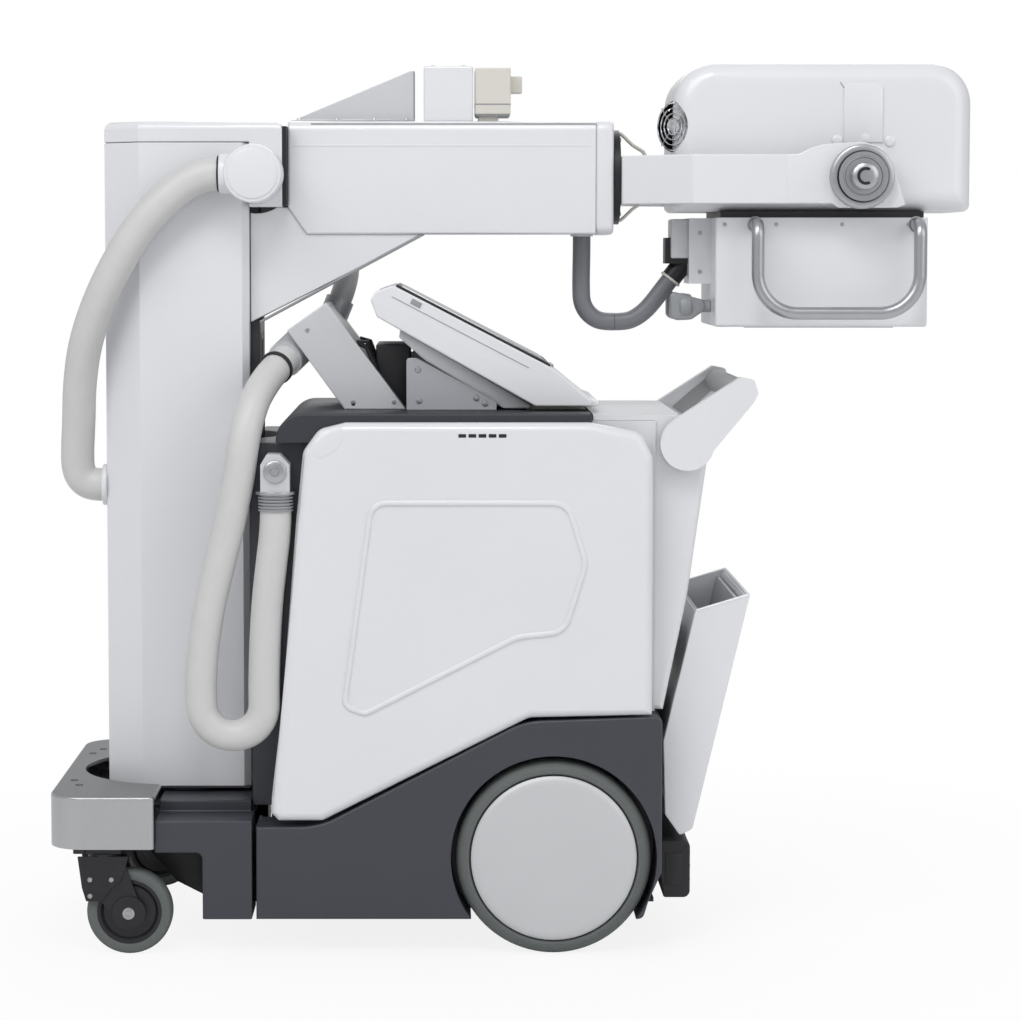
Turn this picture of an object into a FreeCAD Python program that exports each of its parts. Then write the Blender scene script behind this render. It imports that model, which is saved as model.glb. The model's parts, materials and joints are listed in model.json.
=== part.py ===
"""Mobile x-ray machine: motorised chassis, swivelling telescopic column, arm, yoke and tube head.

Millimetres. +X points to the rear (push handle), the column and casters are at -X, +Z is up.
The origin is on the floor under the middle of the machine. Every driving size is a cell of the
sheet Sizes, and the pieces are bound to those cells.
"""
import FreeCAD
import Part
import Sketcher
import math
import os
import re

from FreeCAD import Vector

SIZES = {
    # floor and wheels
    "wheel_x": 58.0, "wheel_r": 142.0, "wheel_w": 58.0, "wheel_side": 238.0, "disc_r": 121.0,
    "disc_proud": 5.0, "tyre_round": 11.0, "arch_gap": 8.0, "axle_r": 12.5, "run_clear": 0.05,
    "caster_x": -597.0, "caster_trail": 37.0, "caster_r": 62.5, "caster_w": 32.0, "caster_inset": 30.0,
    "fork_top": 140.0, "fork_wall": 4.0, "fork_gap": 1.5, "pin_r": 5.0, "stem_r": 10.0,
    # base
    "base_half": 240.0, "base_low": 52.0, "base_top": 188.0, "base_front": -375.0, "base_rear": 215.0,
    "base_rise_x": -284.0, "base_high_x": 14.0, "base_high": 343.0, "cover_wall": 4.0,
    "block_front": -522.0, "block_step": -453.0, "block_low": 150.0, "block_top": 197.0,
    "block_gap": 6.0, "plinth_edge": 18.0, "plinth_top": 214.0,
    "frame_half": 150.0, "frame_top": 64.0, "plate_t": 6.0,
    "bumper_front": -677.0, "bumper_rear": -521.0, "bumper_half": 252.0, "bumper_low": 157.0,
    "bumper_top": 234.0, "bumper_round": 52.0, "deck_plate_top": 228.0, "bumper_wall": 5.0, "well_r": 150.0,
    # column
    "col_x": -500.0, "col_front": -608.0, "col_rear": -391.0, "col_half": 100.0, "col_low": 220.0,
    "col_seam": 1183.0, "col_top": 1214.0, "col_fold_x": 55.0, "col_fold_y": 40.0, "col_edge": 10.0,
    "col_wall": 4.0, "slot_half": 62.0, "mast_half": 54.0, "mast_front": -560.0, "mast_rear": -377.0,
    "mast_wall": 6.0, "mast_low": 250.0, "head_rear": -341.0, "head_low": 1088.0, "turn_r": 88.0,
    "turn_low": 205.0, "turn_split": 212.0, "seam_gap": 1.0,
    "boss_x": -381.0, "boss_z": 1136.0, "boss_r": 43.0, "boss_out": 166.0, "boss_hose_y": -134.0,
    # arm
    "arm_front": -334.0, "arm_rear": 124.0, "arm_end": 151.0, "arm_half": 75.0, "arm_low": 1048.0,
    "arm_top": 1216.0, "arm_cut_x": 28.0, "arm_cut_z": 40.0, "arm_round": 16.0, "arm_wall": 4.0,
    "gusset_x": -390.0, "gusset_low": 917.0, "gusset_tip": -130.0, "gusset_half": 70.0,
    "gusset_wall": 4.0, "gusset_flange": 8.0, "nest_gap": 14.0,
    "brace_front": -334.0, "brace_rear": -146.0, "brace_top": 1292.0, "brace_half": 30.0,
    "cap_front": -132.0, "cap_rear": -58.0, "cap_top": 1299.0, "cap_half": 45.0,
    "latch_gap": 3.0, "latch_rear": -2.0, "latch_top": 1296.0, "latch_low": 1227.0,
    "latch_foot_front": -50.0, "latch_foot_rear": -20.0, "tab_rear": 16.0, "tab_low": 1260.0,
    "tab_top": 1285.0, "tab_half": 16.0,
    # yoke and head
    "roll_z": 1134.0, "flange_r": 71.0, "flange_t": 11.0, "yoke_wall": 14.0,
    "yoke_half": 158.0, "yoke_back_half": 90.0, "yoke_bend": 262.0, "yoke_low": 1092.0,
    "yoke_high": 1164.0, "tilt_x": 507.0, "tilt_z": 1131.0, "ear_r": 45.0,
    "head_x0": 238.0, "head_x1": 677.0, "head_half": 116.0, "head_z0": 1081.0, "head_z1": 1301.0,
    "head_big": 62.0, "head_small": 30.0, "ring_r": 47.0, "ring_out": 176.0, "cap_disc_r": 36.0,
    "cap_disc_out": 182.0, "knob_r": 20.0, "knob_out": 204.0, "pivot_r": 20.0,
    "fan_x": 240.0, "fan_y": -78.0, "fan_z": 1207.0, "fan_r": 38.0, "fan_deep": 30.0,
    "coll_x0": 299.0, "coll_x1": 612.0, "coll_half": 118.0, "coll_z0": 911.0, "coll_z1": 1072.0,
    "side_x0": 266.0, "side_half": 45.0, "side_low": 974.0, "plug_x0": 242.0, "plug_low": 1004.0,
    "plug_high": 1043.0, "plug_half": 22.0, "bar_r": 9.5, "bar_x0": 357.0, "bar_x1": 594.0,
    "bar_y": 160.0, "bar_z": 932.0, "bar_top": 1062.0,
    "lever_x": 252.0, "lever_z": 940.0, "lever_r": 19.0, "neck_r": 9.0,
    # upper body
    "body_half": 200.0, "body_front": -385.0, "body_rear": 205.0, "body_low": 190.0,
    "body_top": 745.0, "turn_room": 153.0, "body_nose": -345.0,
    "deck_rear": 112.0, "deck_top": 789.0, "deck_inset": 20.4, "deck_round": 40.0, "cap_round": 12.0,
    "panel_half": 246.0, "panel_wall": 4.0, "panel_low": 197.0, "panel_top": 776.6,
    "panel_front_low": -352.0, "panel_front_high": -305.0, "panel_rear": 200.0, "panel_mid_z": 350.0,
    "panel_soft": 24.0, "panel_edge": 14.0, "ridge_bend": 22.0, "ridge_h": 3.0, "ridge_w": 9.0,
    "rear_top": 786.0, "rear_x": 284.0, "rear_half": 198.0, "rear_low": 330.0, "rear_low_x": 219.0,
    "handle_x": 250.0, "handle_z": 745.0, "handle_r": 39.0, "handle_out": 226.0,
    "handle_wall": 24.0, "handle_end_x": 352.0, "handle_end_z": 818.0, "grip_r": 16.0,
    "bin_half": 176.0, "bin_wall": 4.0, "bin_rear": 347.0, "bin_rear_z": 519.0, "bin_front": 267.0,
    "bin_front_z": 495.0, "bin_low": 163.0, "bin_low_x": 246.0, "tail_x": 262.0, "tail_low": 69.0,
    "tail_top": 154.0, "tail_half": 172.0,
    # console
    "guide_half": 115.0, "guide_wall": 3.0, "screen_half": 165.0,
    "bracket_y": 140.0, "bracket_t": 6.0,
    # hoses
    "riser_d": 50.0, "supply_d": 46.0, "link_d": 36.0, "lead_d": 27.0,
}

RISER = [(-431, -134, 1136), (-456, -134, 1136), (-496, -134, 1112), (-542, -134, 1068),
         (-580, -130, 1010), (-612, -116, 948), (-636, -94, 884), (-647, -72, 820),
         (-650, -56, 768), (-654, -45, 724), (-654, -40, 694), (-646, -38, 679), (-632, -38, 671),
         (-616, -38, 671)]
SUPPLY = [(-345, -225, 654), (-345, -225, 624), (-352, -225, 568), (-358, -225, 514),
          (-361, -225, 462), (-362.5, -225, 420), (-363, -225, 384), (-362.5, -225, 350.7),
          (-379.9, -225, 326.8), (-408, -225, 317.7), (-436.1, -225, 326.8), (-453.5, -225, 350.7),
          (-455, -225, 386), (-453, -225, 430), (-447, -225, 480), (-437, -225, 530),
          (-424, -225, 582), (-410, -226, 638), (-398, -226, 696), (-391, -227, 750),
          (-380, -204, 800), (-364, -160, 832), (-348, -122, 852), (-338, -98, 862)]
LINK = [(-262, 88, 948), (-254, 91, 968), (-249, 96, 1002), (-253, 108, 1045), (-272, 118, 1089),
        (-307, 124, 1123), (-352, 127, 1143), (-401, 127, 1143), (-447, 126, 1124),
        (-481, 125, 1090), (-499, 124, 1045), (-500, 123, 1000), (-500, 123, 955)]
LEAD_A = [(107, 0, 1045), (107, 0, 1016), (106.4, 0, 990), (106.4, 0, 968), (107, 0, 948),
          (113.1, 0, 933.3), (124.3, 0, 922.1), (139, 0, 916), (156.7, 0, 916)]
LEAD_B = [(157.3, 0, 916), (174, 0, 916), (190.5, 0, 922.5), (205, 0, 934), (217.5, 0, 948.5),
          (230, 0, 965.5), (243, 0, 982.1)]

CASTER_MIDDLES = (("near", "-bumper_half + caster_inset"), ("far", "bumper_half - caster_inset"))

doc = FreeCAD.newDocument("mobile_xray")
sheet = doc.addObject("Spreadsheet::Sheet", "Sizes")
for row, (alias, size) in enumerate(SIZES.items(), start=1):
    sheet.set(f"A{row}", alias)
    sheet.set(f"B{row}", str(size))
    sheet.setAlias(f"B{row}", alias)
doc.recompute()

PARTS = {}


def val(text):
    """Value of a sum or difference of sheet names and plain numbers, such as 'arm_top - 5'."""
    total, sign = 0.0, 1.0
    for word in str(text).split():
        if word in "+-":
            sign = 1.0 if word == "+" else -1.0
            continue
        lead = -1.0 if word.startswith("-") and word[1:] in SIZES else 1.0
        name = word[1:] if lead < 0 else word
        total += sign * lead * float(sheet.get(name) if name in SIZES else name)
    return total


def formula(text):
    """The same sum written for setExpression."""
    return re.sub(r"[a-z_]\w*", lambda found: "Sizes." + found.group(0), str(text))


def bind(obj, prop, text):
    obj.setExpression(prop, formula(text))


def keep(obj, label):
    """Name a finished piece, which is then written to its own file."""
    obj.Label = label
    PARTS[label] = obj
    return obj


def block(name, x0, x1, y0, y1, z0, z1):
    """Box between two corners given as sums of sheet names."""
    obj = doc.addObject("Part::Box", name)
    for prop, low, high in (("Length", x0, x1), ("Width", y0, y1), ("Height", z0, z1)):
        obj.setExpression(prop, f"({formula(high)}) - ({formula(low)})")
    for prop, low in (("x", x0), ("y", y0), ("z", z0)):
        bind(obj, f"Placement.Base.{prop}", low)
    return obj


TURNS = {"X": (Vector(0, 1, 0), 90), "Y": (Vector(1, 0, 0), -90), "Z": (Vector(0, 0, 1), 0)}


def rod(name, axis, x, y, z, radius, length):
    """Cylinder from a point along +X, +Y or +Z."""
    obj = doc.addObject("Part::Cylinder", name)
    obj.Placement = FreeCAD.Placement(Vector(), FreeCAD.Rotation(*TURNS[axis]))
    bind(obj, "Radius", radius)
    bind(obj, "Height", length)
    for prop, text in (("x", x), ("y", y), ("z", z)):
        bind(obj, f"Placement.Base.{prop}", text)
    return obj


def fuse(name, *objs):
    obj = doc.addObject("Part::MultiFuse", name)
    obj.Shapes = list(objs)
    return obj


def cut(name, base, *tools):
    obj = doc.addObject("Part::Cut", name)
    obj.Base = base
    obj.Tool = tools[0] if len(tools) == 1 else fuse(name + "_tools", *tools)
    return obj


def group(name, *objs):
    """Separate solids kept in one node."""
    obj = doc.addObject("Part::Compound", name)
    obj.Links = list(objs)
    return obj


def profile(name, role, points, low, high, rounds=None):
    """Pad a closed outline of straight sides between two levels; rounds maps corner number to a radius.

    The outline is in the plane named by role: XY_Plane rises along Z, XZ_Plane runs along Y.
    """
    body = doc.addObject("PartDesign::Body", name)
    plane = next(item for item in body.Origin.OriginFeatures if item.Role == role)
    sketch = body.newObject("Sketcher::SketchObject", name + "_outline")
    sketch.AttachmentSupport = [(plane, "")]
    sketch.MapMode = "FlatFace"
    corners = [(val(a), val(b)) for a, b in points]
    count = len(corners)
    for index in range(count):
        start, end = corners[index], corners[(index + 1) % count]
        sketch.addGeometry(Part.LineSegment(Vector(*start, 0), Vector(*end, 0)), False)
    for index in range(count):
        sketch.addConstraint(Sketcher.Constraint("Coincident", index, 2, (index + 1) % count, 1))
    for index, pair in enumerate(points):
        for kind, text, number in zip(("DistanceX", "DistanceY"), pair, corners[index]):
            place = sketch.addConstraint(Sketcher.Constraint(kind, -1, 1, index, 1, number))
            if number:
                sketch.setExpression(f"Constraints[{place}]", formula(text))
    flip = -1.0 if role == "XZ_Plane" else 1.0
    middle = f"(({formula(high)}) + ({formula(low)})) / 2 * {flip}"
    sketch.setExpression("AttachmentOffset.Base.z", middle)
    pad = body.newObject("PartDesign::Pad", name + "_pad")
    pad.Profile = sketch
    pad.Midplane = True
    pad.setExpression("Length", f"({formula(high)}) - ({formula(low)})")
    doc.recompute()
    for number, radius in (rounds or {}).items():
        soften(body, radius, corner_edges(body, role, corners[number]))
    return body


def corner_edges(body, role, corner):
    """Names of the straight edges that stand on one corner of the outline."""
    found = []
    for index, edge in enumerate(body.Tip.Shape.Edges, start=1):
        if len(edge.Vertexes) != 2:
            continue
        ends = [vertex.Point for vertex in edge.Vertexes]
        flat = [(p.x, p.y) if role == "XY_Plane" else (p.x, p.z) for p in ends]
        if all(math.dist(point, corner) < 0.01 for point in flat):
            found.append(f"Edge{index}")
    return found


def long_edges(body, test):
    """Names of the edges whose middle point passes the test."""
    found = []
    for index, edge in enumerate(body.Tip.Shape.Edges, start=1):
        middle = edge.valueAt((edge.FirstParameter + edge.LastParameter) / 2)
        if test(middle, edge):
            found.append(f"Edge{index}")
    return found


def soften(body, radius, edges, kind="Fillet"):
    """Round or chamfer edges of a body by a size of the sheet."""
    carrier = body.Tip
    blend = body.newObject(f"PartDesign::{kind}", f"{body.Name}_{kind.lower()}")
    blend.Base = (carrier, edges)
    bind(blend, "Radius" if kind == "Fillet" else "Size", radius)
    body.Tip = blend
    doc.recompute()
    return blend


def feature(name, shape):
    """A piece whose outline no single feature gives."""
    obj = doc.addObject("Part::Feature", name)
    obj.Shape = shape
    return obj


def route(points, say=None):
    """Path of straight runs joined by tangent arcs, each as large as its two runs allow."""
    points = [Vector(*point) for point in points]
    edges, start = [], points[0]
    for before, corner, after in zip(points, points[1:], points[2:]):
        back, ahead = (before - corner), (after - corner)
        turn = math.pi - back.getAngle(ahead)
        reach = 0.45 * min(back.Length, ahead.Length)
        radius = reach / math.tan(turn / 2)
        if say:
            print(f"{say}: radius {radius:.0f} mm at {corner.x:.0f} {corner.y:.0f} {corner.z:.0f}")
        back.normalize()
        ahead.normalize()
        enter, leave = corner + back * reach, corner + ahead * reach
        bisector = (back + ahead).normalize()
        middle = corner + bisector * (radius / math.cos(turn / 2) - radius)
        edges.append(Part.LineSegment(start, enter).toShape())
        edges.append(Part.Arc(enter, middle, leave).toShape())
        start = leave
    edges.append(Part.LineSegment(start, points[-1]).toShape())
    return Part.Wire(edges)


def tube(name, points, diameter, say=None):
    """Solid of a hose along its route."""
    path = route(points, say)
    heading = Vector(*points[1]) - Vector(*points[0])
    ring = Part.Wire([Part.makeCircle(diameter / 2, Vector(*points[0]), heading)])
    shape = path.makePipeShell([ring], True, False)
    if say:
        ratio = shape.Volume / (math.pi * diameter ** 2 / 4 * path.Length)
        print(f"{say}: length {path.Length:.0f} mm, volume over section times length {ratio:.4f}")
    return feature(name, shape)


def mirrored(name, source):
    """Copy of a piece on the other side of the machine's middle plane."""
    obj = doc.addObject("Part::Mirroring", name)
    obj.Source = source
    obj.Normal = Vector(0, 1, 0)
    return obj


def rear_wheels():
    """Tyre, hub and plain disc cover on each side, on one fixed axle."""
    for side, sign in (("near", "-"), ("far", "")):
        inner = "wheel_side - wheel_w"
        low, high = (("-wheel_side", "-wheel_side + wheel_w") if sign else (inner, "wheel_side"))
        tyre = rod(f"tyre_{side}_ring", "Y", "wheel_x", low, "wheel_r", "wheel_r", "wheel_w")
        hole = rod(f"tyre_{side}_hole", "Y", "wheel_x", low, "wheel_r", "disc_r + 2", "wheel_w")
        ring = doc.addObject("Part::Fillet", f"tyre_{side}_round")
        ring.Base = cut(f"tyre_{side}_cut", tyre, hole)
        doc.recompute()
        ring.Edges = [(number, val("tyre_round"), val("tyre_round"))
                      for number in circle_edges(ring.Base.Shape, val("wheel_r"))]
        keep(ring, f"rear_tyre_{side}")
        hub = rod(f"hub_{side}_drum", "Y", "wheel_x", low, "wheel_r", "disc_r + 2", "wheel_w")
        bore_low = "-wheel_side + 12" if sign else inner
        bore = rod(f"hub_{side}_bore", "Y", "wheel_x", bore_low, "wheel_r", "axle_r + run_clear",
                   "wheel_w - 12")
        drum = cut(f"hub_{side}_cut", hub, bore)
        face = "-wheel_side - disc_proud" if sign else "wheel_side"
        disc = rod(f"disc_{side}_plate", "Y", "wheel_x", face, "wheel_r", "disc_r", "disc_proud")
        rounded = doc.addObject("Part::Chamfer", f"disc_{side}_edge")
        rounded.Base = disc
        doc.recompute()
        outer_y = -1 if sign else 1
        rounded.Edges = [(number, 3.0, 3.0) for number, edge in enumerate(disc.Shape.Edges, start=1)
                         if edge.Length > 10 and outer_y * edge.BoundBox.Center.y > val("wheel_side") + 2
                         and len(edge.Vertexes) == 1]
        keep(group(f"wheel_{side}", drum, rounded), f"rear_wheel_{side}")
    keep(rod("axle", "Y", "wheel_x", "-wheel_side + 13", "wheel_r", "axle_r",
             "wheel_side + wheel_side - 26"), "rear_axle")


def circle_edges(shape, radius):
    """Numbers of the round edges of one radius."""
    return [number for number, edge in enumerate(shape.Edges, start=1)
            if hasattr(edge.Curve, "Radius") and abs(edge.Curve.Radius - radius) < 0.01]


def casters():
    """Swivelling fork with a covered rim and a solid wheel, on each side at the front."""
    for side, mid in CASTER_MIDDLES:
        wheel_x = "caster_x + caster_trail"
        low = f"{mid} - {val('caster_w') / 2}"
        wheel = rod(f"caster_{side}_disc", "Y", wheel_x, low, "caster_r", "caster_r", "caster_w")
        bore = rod(f"caster_{side}_bore", "Y", wheel_x, low, "caster_r", "pin_r + run_clear", "caster_w")
        tread = doc.addObject("Part::Fillet", f"caster_{side}_round")
        tread.Base = cut(f"caster_{side}_cut", wheel, bore)
        doc.recompute()
        tread.Edges = [(number, 5.0, 5.0)
                       for number in circle_edges(tread.Base.Shape, val("caster_r"))]
        keep(tread, f"caster_wheel_{side}")
        half = val("caster_w") / 2 + val("fork_gap")
        wall = val("fork_wall")
        cheeks = []
        for cheek, offset in (("a", -half - wall), ("b", half)):
            start = f"{mid} + {offset}"
            end = f"{mid} + {offset + wall}"
            outline = [("caster_x - 22", "fork_top"), ("caster_x - 22", "fork_top - 40"),
                       (f"{wheel_x} - 15", "caster_r - 12"), (f"{wheel_x} + 12", "caster_r - 12"),
                       (f"{wheel_x} + 15", "caster_r + 14"), ("caster_x + 30", "fork_top")]
            cheeks.append(profile(f"cheek_{side}_{cheek}", "XZ_Plane", outline, start, end,
                                  {2: "stem_r", 3: "stem_r"}))
        crown = block(f"crown_{side}", "caster_x - 22", "caster_x + 30", f"{mid} - {half}",
                      f"{mid} + {half}", "fork_top - 10", "fork_top")
        plate = rod(f"race_{side}", "Z", "caster_x", mid, "fork_top", "stem_r + 14", "9")
        stem = rod(f"stem_{side}", "Z", "caster_x", mid, "fork_top + 9", "stem_r", "40")
        pin = rod(f"pin_{side}", "Y", wheel_x, f"{mid} - {half + wall}", "caster_r", "pin_r",
                  f"{2 * (half + wall)}")
        keep(fuse(f"fork_{side}", *cheeks, crown, plate, stem, pin), f"caster_fork_{side}")


def base():
    """Steel frame, slate mouldings with wheel arches, front bumper and rear bumper."""
    sockets = []
    for side, mid in CASTER_MIDDLES:
        block_ = block(f"socket_{side}", "caster_x - 26", "caster_x + 26", f"{mid} - 22",
                       f"{mid} + 22", "fork_top + 9.3", "block_top + 1")
        hole = rod(f"socket_{side}_bore", "Z", "caster_x", mid, "fork_top", "stem_r + run_clear", "50.5")
        sockets.append(cut(f"socket_{side}_cut", block_, hole))
    low_plate = block("plate_low", "block_step + 6", "base_rear - 5", "-frame_half", "frame_half",
                      "frame_top - plate_t", "frame_top")
    riser = block("plate_riser", "block_step", "block_step + 6", "-frame_half", "frame_half",
                  "frame_top - plate_t", "block_top + 1")
    high_plate = block("plate_high", "bumper_front + 30", "base_front - 8", "-frame_half",
                       "frame_half", "block_top + 1", "block_top + 7")
    arms = block("plate_arms", "caster_x - 30", "caster_x + 30", "-bumper_half + 8", "bumper_half - 8",
                 "block_top + 1", "block_top + 7")
    pedestal = rod("pedestal", "Z", "col_x", "0", "block_top + 7", "turn_r", "turn_low - block_top - 7")
    ring = rod("turn_low_ring", "Z", "col_x", "0", "turn_low", "turn_r", "turn_split - turn_low")
    spindle = rod("turn_spindle", "Z", "col_x", "0", "turn_split", "30", "7")
    studs = [rod(f"bumper_stud_{side}", "Z", "caster_x", mid, "block_top + 7", "stem_r",
                 "deck_plate_top - block_top - 7")
             for side, mid in CASTER_MIDDLES]
    keep(fuse("frame", low_plate, riser, high_plate, arms, pedestal, ring, spindle, *sockets, *studs),
         "base_frame")

    outline = [("base_front", "base_low"), ("base_rear - 27", "base_low"), ("base_rear - 19", "78"),
               ("base_rear", "121"), ("base_rear", "base_high + 7"), ("base_high_x", "base_high"),
               ("base_rise_x", "base_top"), ("base_front", "base_top")]
    moulding = profile("base_moulding", "XZ_Plane", outline, "-base_half", "base_half",
                       {1: "stem_r", 4: "stem_r", 5: "disc_r", 6: "disc_r"})
    soften(moulding, "cover_wall", long_edges(moulding, lambda p, e: abs(abs(p.y) - val("base_half")) < 0.01))
    channel = block("base_channel", "base_front + cover_wall", "base_rear - cover_wall",
                    "-frame_half - 12", "frame_half + 12", "0", "base_high + 20")
    mouth = block("base_mouth", "base_front - 1", "base_front + 5", "-frame_half - 0.5",
                  "frame_half + 0.5", "0", "base_high")
    arches = [rod(f"arch_{side}", "Y", "wheel_x", low, "wheel_r", "wheel_r + arch_gap",
                  "base_half - wheel_side + wheel_w + 20")
              for side, low in (("near", "-base_half - 6"), ("far", "wheel_side - wheel_w - 14"))]
    bore = rod("axle_bore", "Y", "wheel_x", "-base_half", "wheel_r", "axle_r + run_clear",
               "base_half + base_half")
    keep(cut("base_hollow", moulding, channel, mouth, bore, *arches), "base_cover")

    outline = [("block_front", "block_low"), ("block_step", "block_low"), ("block_step", "base_low"),
               ("base_front - block_gap", "base_low"), ("base_front - block_gap", "block_top"),
               ("block_front", "block_top")]
    nose = profile("block_form", "XZ_Plane", outline, "-base_half", "base_half",
                   {1: "stem_r"})
    room = block("block_room", "block_front - 1", "base_front", "-frame_half - 0.5",
                 "frame_half + 0.5", "0", "block_top - 6")
    step = block("block_plinth", "block_front", "body_front - 1", "-frame_half - plinth_edge",
                 "frame_half + plinth_edge", "block_top - 6", "plinth_top")
    band = block("block_band", "block_front - 1", "base_front", "-frame_half - 0.5",
                 "frame_half + 0.5", "block_top", "block_top + 7.5")
    opening = rod("block_opening", "Z", "col_x", "0", "base_low", "turn_r + 6", "200")
    slot = block("block_slot", "block_step", "block_step + 6", "-frame_half", "frame_half",
                 "block_top - 7", "block_top + 1")
    keep(cut("block_cut", fuse("block_all", nose, step), room, band, opening, slot), "front_block")

    outline = [("bumper_front", "-bumper_half"), ("bumper_rear", "-bumper_half"),
               ("bumper_rear", "bumper_half"), ("bumper_front", "bumper_half")]
    shell = profile("bumper_form", "XY_Plane", outline, "bumper_low", "bumper_top",
                    {0: "bumper_round", 1: "stem_r", 2: "stem_r", 3: "bumper_round"})
    soften(shell, "cover_wall", long_edges(shell, lambda p, e: abs(p.z - val("bumper_top")) < 0.01))
    inside = [("bumper_front + bumper_wall", "-bumper_half + bumper_wall"),
              ("bumper_rear + 1", "-bumper_half + bumper_wall"),
              ("bumper_rear + 1", "bumper_half - bumper_wall"),
              ("bumper_front + bumper_wall", "bumper_half - bumper_wall")]
    hollow = profile("bumper_inside", "XY_Plane", inside, "bumper_low - 1", "deck_plate_top",
                     {0: "bumper_round - bumper_wall", 3: "bumper_round - bumper_wall"})
    well = rod("bumper_well", "Z", "col_x", "0", "block_top + 7.5", "well_r", "100")
    keep(cut("bumper_cut", shell, hollow, well), "front_bumper")
    tail = profile("tail_form", "XZ_Plane",
                   [("base_rear", "tail_low + 40"), ("base_rear + 8", "tail_low"), ("tail_x", "tail_low"),
                    ("tail_x", "tail_top"), ("base_rear", "tail_top")], "-tail_half", "tail_half",
                   {2: "stem_r", 3: "stem_r"})
    keep(tail, "rear_bumper")


def drive():
    """Battery, generator and geared wheel motors inside the chassis."""
    keep(block("battery", "-250", "-50", "-frame_half + 10", "frame_half - 10", "frame_top",
               "frame_top + 140"), "battery_pack")
    shelf = block("shelf", "-260", "body_rear - 10", "-frame_half + 2", "frame_half - 2", "frame_top + 140",
                  "frame_top + 146")
    tank = block("generator_box", "-150", "150", "-frame_half + 20", "frame_half - 20",
                 "frame_top + 146", "frame_top + 446")
    keep(fuse("generator_on_shelf", shelf, tank), "generator")
    motors = []
    for side, low, foot in (("near", "-frame_half - 8", "-frame_half"),
                            ("far", "frame_half - 90", "frame_half - 90")):
        drum = rod(f"motor_{side}_drum", "Y", "wheel_x", low, "wheel_r", "50", "98")
        seat = block(f"motor_{side}_seat", "wheel_x - 40", "wheel_x + 40", foot, f"{foot} + 90",
                     "frame_top", "wheel_r - 30")
        hole = rod(f"motor_{side}_hole", "Y", "wheel_x", f"{low} - 1", "wheel_r", "axle_r", "120")
        motors.append(cut(f"motor_{side}_cut", fuse(f"motor_{side}", drum, seat), hole))
    keep(group("motors", *motors), "drive_motors")


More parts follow.
